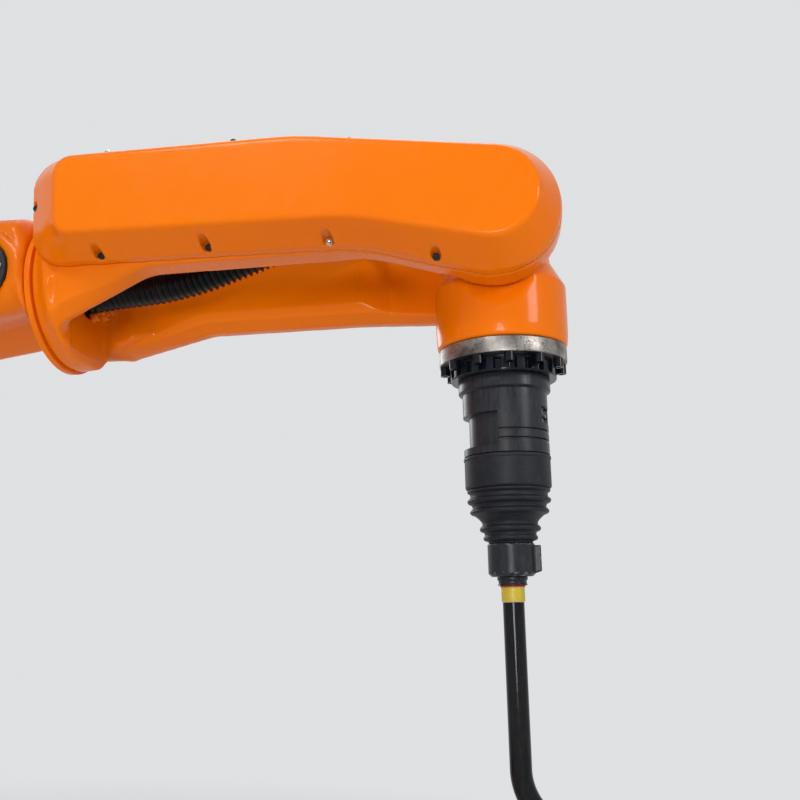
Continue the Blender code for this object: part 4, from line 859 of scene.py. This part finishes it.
def make_torch():
    """Clamp collar, ferrule, thin red ring, yellow sleeve, bent tube, nozzle and tip."""
    cast("clamp_jaws", collar_field, (-0.023, -0.023, COLLAR_LOW), (0.0285, 0.023, COLLAR_TOP),
         0.0009, TOOL, ["clamp_collar"], DARK)
    for name, profile, soft, finish, nodes in TORCH_RINGS:
        round_piece(name, profile, soft, TOOL, finish, nodes, 64)
    turn = np.linspace(0.0, TUBE_TURN, 12)[1:]
    low = TUBE_TOP - TUBE_STRAIGHT
    knots = [(0.0, 0.0, z) for z in np.linspace(TUBE_TOP, low, 12)]
    knots += list(np.stack([TUBE_BEND - TUBE_BEND * np.cos(turn), 0.0 * turn,
                            low - TUBE_BEND * np.sin(turn)], axis=1))
    along = np.array((sin(TUBE_TURN), 0.0, -cos(TUBE_TURN)))
    knots.append(np.array(knots[-1]) + along * 0.022)
    points, faces = swept(route(knots, 120)[0], 0.0103, (0.0, 1.0, 0.0), 48)
    dress("bent_tube", points, faces, TOOL, TUBE, ["torch_tube"], sharp=50.0)
    mouth = tuple(np.array(knots[-1]) + along * TOUCH)
    for name, profile, soft, nodes, sides in (
            ("nozzle_shell", NOZZLE, 0.0005, ["gas_nozzle"], 64),
            ("copper_tip", TIP, 0.0002, ["contact_tip"], 40)):
        round_piece(name, profile, soft, TOOL, COPPER, nodes, sides, None, mouth, tuple(along))


# Extension's ends, and its side panels' spine and height
ARM_BACK, ARM_FRONT = 0.1403, 0.5285
PANEL_SPINE, PANEL_HEIGHT = (0.189, 0.477), -0.023


def extension_field(x, y, z):
    """Long rounded box that tapers to the roll joint, with a band round its rear end, its sides
    cut back round an oval pad with a seat for the panel, its underside in a shallow V, and its
    front end drawn in and flared to the joint's rim."""
    rise, side = z + 0.035, np.abs(y)
    share = (x - ARM_BACK) / 0.3882
    low, high = -0.064 + 0.034 * share, 0.104 - 0.032 * share
    solid = rounded(y, rise, (-0.085, low), (0.085, high), 0.03)
    away = np.hypot(x - np.clip(x, *PANEL_SPINE), rise - 0.012)
    solid = carve(solid, trim(0.082 - side, 0.046 - away, 0.002), 0.002)
    solid = carve(solid, (rise - low - 0.012 + 0.21 * side) * 0.97, 0.004)
    solid = trim(solid, np.hypot(y, rise) - 0.084 - 1.8 * (ARM_FRONT - x), 0.008)
    solid = slab(solid, x, ARM_BACK, ARM_FRONT, 0.002)
    band = slab(rounded(y, rise, (-0.0885, -0.0665), (0.0885, 0.1045), 0.032),
                x, ARM_BACK, 0.162, 0.002)
    solid = merge(solid, band, 0.006)
    rim = slab(np.hypot(y, rise) - 0.0825, x, 0.5262, ARM_FRONT, 0.0008)
    solid = merge(solid, rim, 0.014)
    solid = carve(solid, trim(away - 0.0356, 0.082 - side, 0.0005), 0.0006)
    return np.maximum(solid, np.maximum(x - ARM_FRONT, 0.1404 - x))


def elbow_field(x, y, z):
    """Elbow housing: a box with round corners, a shallow step round its front face, and a round
    seat for the motor on the far side."""
    solid = slab(rounded(x, z, (-0.128, -0.098), (0.14, 0.095), 0.045), y, -0.095, 0.097, 0.01)
    seat = slab(np.hypot(x, z) - 0.086, y, 0.08, 0.1, 0.002)
    solid = merge(solid, seat, 0.004)
    rear = slab(rounded(y, z, (-0.06, -0.048), (0.06, 0.072), 0.014), x, -0.128, -0.1, 0.001)
    return merge(solid, rear, 0.002)


def make_motor(name, side, length, where):
    """A servo motor along Z: flange plate with four screws, grooved square body, stepped cap
    and a cable plug on +X."""
    half = side / 2.0

    def square(x, y, z, reach, corner, low, high, soft):
        """A square section with round corners between two heights."""
        return trim(rounded(x, y, (-reach, -reach), (reach, reach), corner),
                    between(z, low, high), soft)

    def field(x, y, z):
        """Square sections with round corners, one behind the other, less three grooves a side."""
        solid = square(x, y, z, half, 0.018, 0.002, length - 0.045, 0.004)
        for spot in (-0.5, 0.0, 0.5):
            for along, out in ((x, np.abs(y)), (y, np.abs(x))):
                groove = trim(np.abs(along - spot * half) - 0.0028, half - 0.0035 - out, 0.001)
                groove = slab(groove, z, 0.03, length - 0.06, 0.002)
                solid = carve(solid, groove, 0.0012)
        plate = square(x, y, z, half + 0.009, 0.016, 0.0, 0.018, 0.0022)
        cap = square(x, y, z, half - 0.014, 0.018, length - 0.08, length, 0.006)
        solid = merge(merge(solid, plate, 0.003), cap, 0.003)
        block = slab(rounded(y, z, (-0.017, length - 0.084), (0.017, length - 0.052), 0.004),
                     x, 0.0, half + 0.01, 0.002)
        plug = slab(np.hypot(y, z - length + 0.068) - 0.0125, x, 0.0, half + 0.026, 0.002)
        return merge(solid, merge(block, plug, 0.002), 0.002)

    reach = half + 0.009
    cast(name + "_body", field, (-reach, -reach, 0.0), (half + 0.026, reach, length), 0.0034,
         where, [name], MOTOR)
    spots = [(u * (reach - 0.0085), v * (reach - 0.0085), 0.0178) for u in (-1, 1) for v in (-1, 1)]
    screws(name + "_screws", spots, (0.0, 0.0, 1.0), 0.0055, 0.0055, where)


def make_elbow():
    """Elbow housing with its lids and motors, and the extension with its bolts."""
    cast("elbow_housing", elbow_field, (-0.128, -0.095, -0.098), (0.14, 0.1, 0.095), 0.0042,
         UPPER, ["elbow_casting"])
    for name, low, facing in (("elbow_lid", 0.0948, 1.0), ("elbow_sump", -0.0978, -1.0)):
        def lid(x, y, z):
            """A thin plate with round corners on the housing."""
            edge = rounded(x, y, (-0.07, -0.062), (0.086, 0.066), 0.016)
            return trim(edge, between((z - low) * facing, -0.002, 0.004), 0.0012)

        ends = sorted((low - 0.002 * facing, low + 0.004 * facing))
        cast(name, lid, (-0.07, -0.062, ends[0]), (0.086, 0.066, ends[1]), 0.0036, UPPER)
        spots = [(u, v, low + 0.004 * facing) for u in (-0.06, 0.008, 0.076)
                 for v in (-0.052, 0.056)]
        screws(name + "_screws", spots, (0.0, 0.0, facing), 0.005, 0.0045, UPPER)
    cast("extension_arm", extension_field, (ARM_BACK, -0.0885, -0.102), (ARM_FRONT, 0.0885, 0.07),
         0.0038, UPPER, ["extension_casting"])
    for label, sign in (("near", -1.0), ("far", 1.0)):
        spots = [(0.151, sign * 0.0885, z) for z in (-0.064, -0.016, 0.032)]
        screws("extension_bolts_" + label, spots, (0.0, sign, 0.0), 0.0055, 0.0055, UPPER)
    make_motor("elbow_motor", 0.112, 0.13,
               turned_frame(UPPER, (0.0, 0.1003, 0.0), (0, 0, 1), (0, 1, 0)))
    make_motor("roll_motor", 0.098, 0.12,
               turned_frame(UPPER, (-0.1283, 0.0, 0.012), (0, 0, 1), (-1, 0, 0)))


def make_side_panels():
    """Raised oval plates with a round edge on the extension's sides, and their end screws."""
    for name, sign in (("side_panel_near", -1.0), ("side_panel_far", 1.0)):
        low, high = sorted((sign * 0.082, sign * 0.088))

        def plate(x, y, z):
            """An oval plate: distance to its spine less its half height."""
            away = np.hypot(x - np.clip(x, *PANEL_SPINE), z - PANEL_HEIGHT)
            return slab(away - 0.035, y, low, high, 0.0015)

        cast(name + "_plate", plate, (0.153, low, -0.058), (0.513, high, 0.012), 0.0026, UPPER,
             [name], PLASTIC)
        spots = [(u, sign * 0.088, PANEL_HEIGHT) for u in (0.161, 0.505)]
        screws(name + "_screws", spots, (0.0, sign, 0.0), 0.0035, 0.0022, UPPER)


# Lower arm, measured from the shoulder: its two heads are HEAD apart
HEAD = 0.8
OUTWARD = (0.0, -1.0, 0.0)
GOOSENECK = belt([(0.0, 0.0, 0.122, 1), (0.084, 0.455, 0.09, -1), (0.048, 0.722, 0.085, 1),
                  (0.0, HEAD, 0.108, 1), (-0.166, 0.675, 0.042, -1), (-0.202, 0.572, 0.028, 1),
                  (-0.024, 0.48, 0.2, 1)])
POCKET = belt([(-0.0975, 0.2, 0.039, 1), (0.0, 0.2, 0.039, 1), (0.084, 0.455, 0.114, -1),
               (-0.0673, 0.6, 0.028, 1), (-0.171, 0.572, 0.028, 1), (-0.024, 0.48, 0.176, 1)])
ARM_OUT, ARM_IN, POCKET_FLOOR = -0.1908, -0.0958, -0.1288


def lower_arm_field(x, y, z):
    """Gooseneck slab with round edges, less its channel and a shallow ring round each head, plus
    two low ribs on the channel's floor."""
    solid = slab(gap_to(GOOSENECK, x, z), y, ARM_OUT, ARM_IN, 0.009)
    pocket = trim(gap_to(POCKET, x, z), y - POCKET_FLOOR, 0.008)
    for height in (0.33, 0.46):
        rib = np.maximum(np.abs(z - height + 0.2 * x) * 0.98 - 0.004, POCKET_FLOOR - 0.012 - y)
        pocket = trim(pocket, -rib, 0.003)
    solid = carve(solid, pocket, 0.005)
    for height, inner, outer in ((0.0, 0.08, 0.113), (HEAD, 0.042, 0.074)):
        away = np.hypot(x, z - height)
        ring = trim(between(away, inner, outer), y - ARM_OUT - 0.0025, 0.001)
        solid = carve(solid, ring, 0.002)
    return solid


def make_lower_arm():
    """Gooseneck casting, its cap and head screws, and the conduit with its fitting and clamps."""
    cast("gooseneck", lower_arm_field, (-0.23, ARM_OUT, -0.122), (0.133, ARM_IN, 0.908), 0.005,
         LOWER, ["lower_arm_casting"])
    cap = [(0.06, 0.014), (0.064, 0.0118), (0.074, 0.0118), (0.078, 0.0088), (0.078, 0.0)]
    round_piece("shoulder_lid", cap, 0.0014, LOWER, CASTING, ["shoulder_cap"], 128, None,
                (0.0, ARM_OUT - TOUCH, 0.0), OUTWARD)
    for name, height, radius, count, face, head in (
            ("shoulder_head_bolts", 0.0, 0.0965, 12, ARM_OUT + 0.0025, 0.0065),
            ("elbow_head_bolts", HEAD, 0.058, 10, ARM_OUT + 0.0025, 0.006),
            ("shoulder_lid_screws", 0.0, 0.069, 8, ARM_OUT - 0.0121, 0.004)):
        angle = np.arange(count) * 2.0 * pi / count + 0.13
        spots = [(radius * cos(a), face, height + radius * sin(a)) for a in angle]
        screws(name, spots, OUTWARD, head, head * 0.9, LOWER)
    make_conduit()


# The conduit's knots as shares: back, in from the fitting to the floor, and down
CONDUIT_KNOTS = ((0.099, 0.24, 0.194), (0.144, 0.42, 0.244), (0.172, 0.73, 0.3),
                 (0.164, 1.0, 0.356), (0.147, 1.0, 0.42), (0.129, 1.0, 0.484),
                 (0.112, 1.0, 0.562), (0.09, 1.0, 0.638), (0.069, 1.0, 0.7))


def make_conduit():
    """Elbow fitting, the conduit's route into the channel, and the two clamps on the floor."""
    lean, mouth, bend_radius = radians(26.6), ARM_OUT - TOUCH - 0.026, 0.046
    down = np.array((-sin(lean), 0.0, -cos(lean)))
    turn = np.linspace(0.0, pi / 2.0, 20)[:, None]
    bend = np.array((0.0, mouth, HEAD)) - np.array((0.0, bend_radius, 0.0)) * np.sin(turn)
    bend = bend + down * bend_radius * (1.0 - np.cos(turn))
    bend = np.concatenate([[(0.0, mouth + 0.013, HEAD)], bend, [bend[-1] + down * 0.019]])
    parts = [swept(bend, 0.0215, np.cross((0.0, 1.0, 0.0), down), 40)]
    for profile, soft, sides, swell, spot, along in (
            ([(0.029, 0.026), (0.036, 0.021), (0.036, 0.0)], 0.002, 64, None,
             (0.0, ARM_OUT - TOUCH, HEAD), OUTWARD),
            ([(0.024, 0.022), (0.0262, 0.0195), (0.0262, 0.0)], 0.001, 48,
             lambda angle, z: -0.0022 * (np.cos(angle * 8.0) > 0.35),
             bend[-1] - down * 0.019, down)):
        points, faces = turned(profile, soft, sides, swell)
        parts.append((aimed(points, spot, along), faces))
    dress("conduit_fitting", *gathered(parts), LOWER, PLASTIC, ["conduit_elbow"], sharp=40.0)
    start = bend[-1] + down * TOUCH
    knots = [start, start + down * 0.019, start + down * 0.046]
    for back, inward, fall in CONDUIT_KNOTS:
        y = start[1] + (POCKET_FLOOR - 0.031 - start[1]) * inward
        knots.append((-HEAD * back, y, HEAD - HEAD * fall))
    corrugated("corrugated_conduit", knots, 520, 0.008, 0.0162, 0.0028, 2, (1.0, 0.0, 0.0), 30,
               LOWER, ["conduit"])
    coarse = route(knots, 40)[0]
    for name, index in (("conduit_clamp_upper", 24), ("conduit_clamp_lower", 38)):
        spot, along = coarse[index], coarse[index + 1] - coarse[index - 1]
        floor = POCKET_FLOOR - TOUCH - spot[1]

        def clamp(x, y, z):
            """A ring on a neck and a foot plate, less the conduit's bore."""
            ring = trim(np.hypot(x, y) - 0.025, np.abs(z) - 0.009, 0.001)
            neck = trim(np.abs(x) - 0.013, trim(between(y, 0.0, floor), np.abs(z) - 0.009, 0.001),
                        0.001)
            foot = slab(rounded(x, z, (-0.029, -0.009), (0.029, 0.009), 0.003),
                        y, floor - 0.006, floor, 0.001)
            solid = merge(merge(ring, neck, 0.003), foot, 0.003)
            return np.maximum(carve(solid, np.hypot(x, y) - 0.0186, 0.0006), y - floor)

        here = turned_frame(LOWER, spot, (along[2], 0.0, -along[0]), along / np.linalg.norm(along))
        cast(name + "_ring", clamp, (-0.029, -0.025, -0.009), (0.029, floor, 0.009), 0.0014, here,
             [name], (SCREW[0], "black_metal"))
        screws(name + "_screws", [(x, floor - 0.006, 0.0) for x in (-0.0225, 0.0225)], OUTWARD,
               0.0042, 0.0038, here)


# Base and turret, in the world
BASE_TOP, DISC_LOW, PANEL_REAR, BOLT_AT = 0.205, 0.2058, -0.2303, 0.165
# A plug's profile, as shares of its radius
PLUG = ((0.66, 0.038), (0.82, 0.034), (0.82, 0.02), (0.9, 0.019), (1.0, 0.018),
        (1.0, 0.006), (0.94, 0.005), (0.94, 0.0))
HOUSING = belt([(0.095, 0.2618, 0.035, 1), (SHOULDER[0], SHOULDER[2], 0.125, 1),
                (-0.005, 0.3825, 0.0175, -1),
                (-0.1125, 0.33, 0.035, 1), (-0.095, 0.2618, 0.035, 1)])


def turret_field(x, y, z):
    """Turning disc with a stepped rim, shoulder housing and the motor's deck, with fillets."""
    out = np.hypot(x, y)
    disc = slab(out - 0.165 + np.clip(z - 0.24, 0.0, 0.008), z, DISC_LOW, 0.2478, 0.002)
    housing = trim(gap_to(HOUSING, x, z), np.abs(y) - 0.095, 0.012)
    ring = trim(np.hypot(x - SHOULDER[0], z - SHOULDER[2]) - 0.112, np.abs(y) - 0.095,
                0.002)
    deck = slab(rounded(x, y, (-0.169, -0.077), (0.02, 0.077), 0.018), z, 0.33, 0.3653, 0.004)
    solid = merge(merge(disc, merge(housing, ring, 0.004), 0.02), deck, 0.01)
    return np.maximum(solid, np.maximum(DISC_LOW - z, np.abs(y) - 0.095))


def base_field(x, y, z):
    """Floor foot with bolt pads and holes, a body whose outline runs from a rounded square to a
    circle, four corner ribs and the cable panel's pad."""
    reach, spread = np.abs(x), np.abs(y)
    foot = slab(rounded(x, y, (-0.2, -0.2), (0.2, 0.2), 0.045), z, 0.0, 0.028, 0.004)
    pads = slab(np.hypot(reach - BOLT_AT, spread - BOLT_AT) - 0.026, z, 0.0, 0.03, 0.002)
    share = np.clip((z - 0.015) / 0.16, 0.0, 1.0)
    square, circle = rounded(x, y, (-0.165, -0.165), (0.165, 0.165), 0.09), np.hypot(x, y) - 0.158
    body = slab(square + (circle - square) * share, z, 0.0, BASE_TOP, 0.005)
    rim = slab(circle - 0.002, z, 0.183, BASE_TOP, 0.002)
    rib = trim(np.abs(reach - spread) * 0.7071 - 0.006,
               (reach + spread) * 0.7071 - 0.245 + z * 0.52, 0.003)
    rib = slab(rib, z, 0.0, 0.15, 0.004)
    pad = slab(rounded(y, z, (-0.085, 0.05), (0.085, 0.16), 0.012), x, -0.178, 0.0, 0.003)
    solid = merge(merge(merge(foot, pads, 0.004), body, 0.018), rib, 0.008)
    solid = merge(merge(solid, rim, 0.004), pad, 0.008)
    solid = carve(solid, np.hypot(reach - BOLT_AT, spread - BOLT_AT) - 0.009, 0.001)
    return np.maximum(solid, np.maximum(-z, z - BASE_TOP))


def make_turret_and_base():
    """Base with its cable panel and plugs, and the turret with its bolts and motors."""
    cast("floor_base", base_field, (-0.2, -0.2, 0.0), (0.2, 0.2, BASE_TOP), 0.005, BASE,
         ["base_casting"])
    cast("turret_housing", turret_field, (-0.169, -0.165, DISC_LOW), (0.28, 0.165, 0.575), 0.0048,
         TURRET, ["turret_casting"])

    def panel(x, y, z):
        """Box with round corners and a shallow tray in its rear face."""
        edge = rounded(y, z, (-0.071, 0.064), (0.071, 0.146), 0.014)
        solid = slab(edge, x, PANEL_REAR, -0.1783, 0.003)
        return carve(solid, np.maximum(edge + 0.006, x + 0.2285), 0.001)

    cast("cable_panel", panel, (PANEL_REAR, -0.071, 0.064), (-0.1783, 0.071, 0.146), 0.0034, BASE,
         ["connector_panel"])
    spots = [(PANEL_REAR, y, z) for y in (-0.0675, 0.0675) for z in (0.08, 0.13)]
    screws("cable_panel_screws", spots, (-1.0, 0.0, 0.0), 0.0028, 0.0022, BASE)
    for name, y, radius in (("power_connector", -0.042, 0.026), ("signal_connector", 0.042, 0.019)):
        plug = [(share * radius, z) for share, z in PLUG]
        round_piece(name + "_plug", plug, 0.0008, BASE, DARK, [name], 144,
                    lambda angle, z: -0.0009 * (np.cos(angle * 24.0) > 0.2)
                    * layer_mask(z, 0.0065, 0.0175, 0.0008),
                    (PANEL_REAR - TOUCH, y, 0.105), (-1.0, 0.0, 0.0))
    angle = np.arange(12) * pi / 6.0 + 0.1
    spots = [(0.15 * cos(a), 0.15 * sin(a), 0.247) for a in angle
             if abs(0.15 * sin(a)) > 0.108 or cos(a) < -0.9]
    screws("disc_bolts", spots, (0.0, 0.0, 1.0), 0.0065, 0.006, TURRET)
    make_motor("turn_motor", 0.118, 0.15,
               turned_frame(TURRET, (-0.092, 0.0, 0.3656), (-1, 0, 0), (0, 0, 1)))
    make_motor("shoulder_motor", 0.13, 0.17,
               turned_frame(TURRET, (SHOULDER[0], 0.0953, SHOULDER[2]), (0, 0, 1),
                            (0, 1, 0)))


make_forearm()
make_tool()
make_side_panels()
make_elbow()
make_lower_arm()
make_turret_and_base()

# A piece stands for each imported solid; the solids take the enamel too
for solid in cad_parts.values():
    solid.data.materials.clear()
    solid.data.materials.append(ENAMEL[0])


# Floor, light and camera: each lamp's place, aim, size and power
BACKGROUND = (0.74, 0.75, 0.76, 1.0)
LAMPS = {"key": ((0.2, -2.6, 3.4), (1.1, 0.0, 1.1), 1.0, 39.0),
         "side": ((3.6, -1.4, 2.0), (1.2, 0.0, 1.0), 0.8, 24.0),
         "top": ((0.9, 1.0, 3.8), (0.9, 0.0, 1.0), 2.4, 27.0),
         "low": ((1.4, -3.2, 0.95), (1.1, 0.0, 1.1), 0.9, 36.0),
         "back": ((-1.2, 2.8, 2.2), (0.6, 0.0, 0.9), 1.6, 26.0)}


def seen_directly(tree):
    """1 for rays from the camera and for those that a glossy or clear surface sends on."""
    path = add(tree, "LightPath").outputs
    some = joined(tree, "MAXIMUM", path["Is Camera Ray"], path["Is Glossy Ray"])
    return joined(tree, "MAXIMUM", some, path["Is Transmission Ray"])


def mixed(tree, share, one, two, end, socket):
    """Two shaders mixed by a share, into the end node's socket."""
    both = add(tree, "MixShader", ((0, share), (1, one.outputs[0]), (2, two.outputs[0])))
    tree.links.new(both.outputs[0], tree.nodes[end].inputs[socket])


def plain_floor():
    """A pale round floor, rings of points about Z, that gives way to the world's own tint with
    distance."""
    count, height, reaches = 48, -0.001, (1.5, 4.0, 12.0, 40.0, 120.0)
    angle = np.arange(count) * 2.0 * pi / count
    points = [(reach * cos(a), reach * sin(a), height) for reach in reaches for a in angle]
    quads, middle, _ = tube(len(reaches), count)
    mesh = bpy.data.meshes.new("studio_floor")
    mesh.from_pydata([*points, (0.0, 0.0, height)], [], quads.tolist() + middle.tolist())
    material, tree, coords = new_finish("pale_floor", Metallic=0.0, Roughness=0.7)
    shader = tree.nodes["Principled BSDF"]
    cloud = noise(tree, coords, 1.5, 3.0)
    linked(tree, shader, [("Base Color", blend_of(tree, cloud, (0.82, 0.82, 0.82),
                                                  (0.78, 0.78, 0.785)))])
    glow = add(tree, "Emission", (("Color", BACKGROUND), ("Strength", 1.0)))
    apart = add(tree, "VectorMath", ((0, coords),), operation="LENGTH").outputs["Value"]
    share = joined(tree, "MULTIPLY", span(tree, apart, 1.0, 3.6), seen_directly(tree))
    mixed(tree, share, shader, glow, "Material Output", "Surface")
    mesh.materials.append(material)
    put("studio_floor", mesh)


def light_and_camera():
    """Soft lamps above and beside, an even pale world, and the photograph's view."""
    world = bpy.data.worlds.new("studio")
    world.use_nodes = True
    tree = world.node_tree
    ambient = linked(tree, tree.nodes["Background"], (("Color", (1.0, 0.98, 0.95, 1.0)),
                                                      ("Strength", 0.25)))
    shown = add(tree, "Background", (("Color", BACKGROUND), ("Strength", 1.0)))
    mixed(tree, seen_directly(tree), ambient, shown, "World Output", "Surface")
    scene = bpy.context.scene
    scene.world = world
    for name, (place, aim, size, power) in LAMPS.items():
        data = bpy.data.lights.new(name, "AREA")
        data.shape, data.size, data.energy = "DISK", size, power
        lamp = put(name, data)
        lamp.location = place
        lamp.rotation_euler = (Vector(aim) - Vector(place)).to_track_quat("-Z", "Y").to_euler()
    data = bpy.data.cameras.new("photo_view")
    data.sensor_width, data.lens = 36.0, 40.5
    data.clip_start, data.clip_end = 0.05, 60.0
    yaw, pitch = radians(8.77), radians(12.0)
    right = Vector((cos(yaw), sin(yaw), 0.0))
    ahead = Vector((-sin(yaw) * cos(pitch), cos(yaw) * cos(pitch), sin(pitch)))
    turn = Matrix((right, right.cross(ahead), -ahead)).transposed().to_4x4()
    scene.camera = put("photo_view", data)
    scene.camera.matrix_world = Matrix.Translation((1.446195, -0.887, 0.897385)) @ turn
    scene.view_settings.view_transform = "Standard"


plain_floor()
light_and_camera()
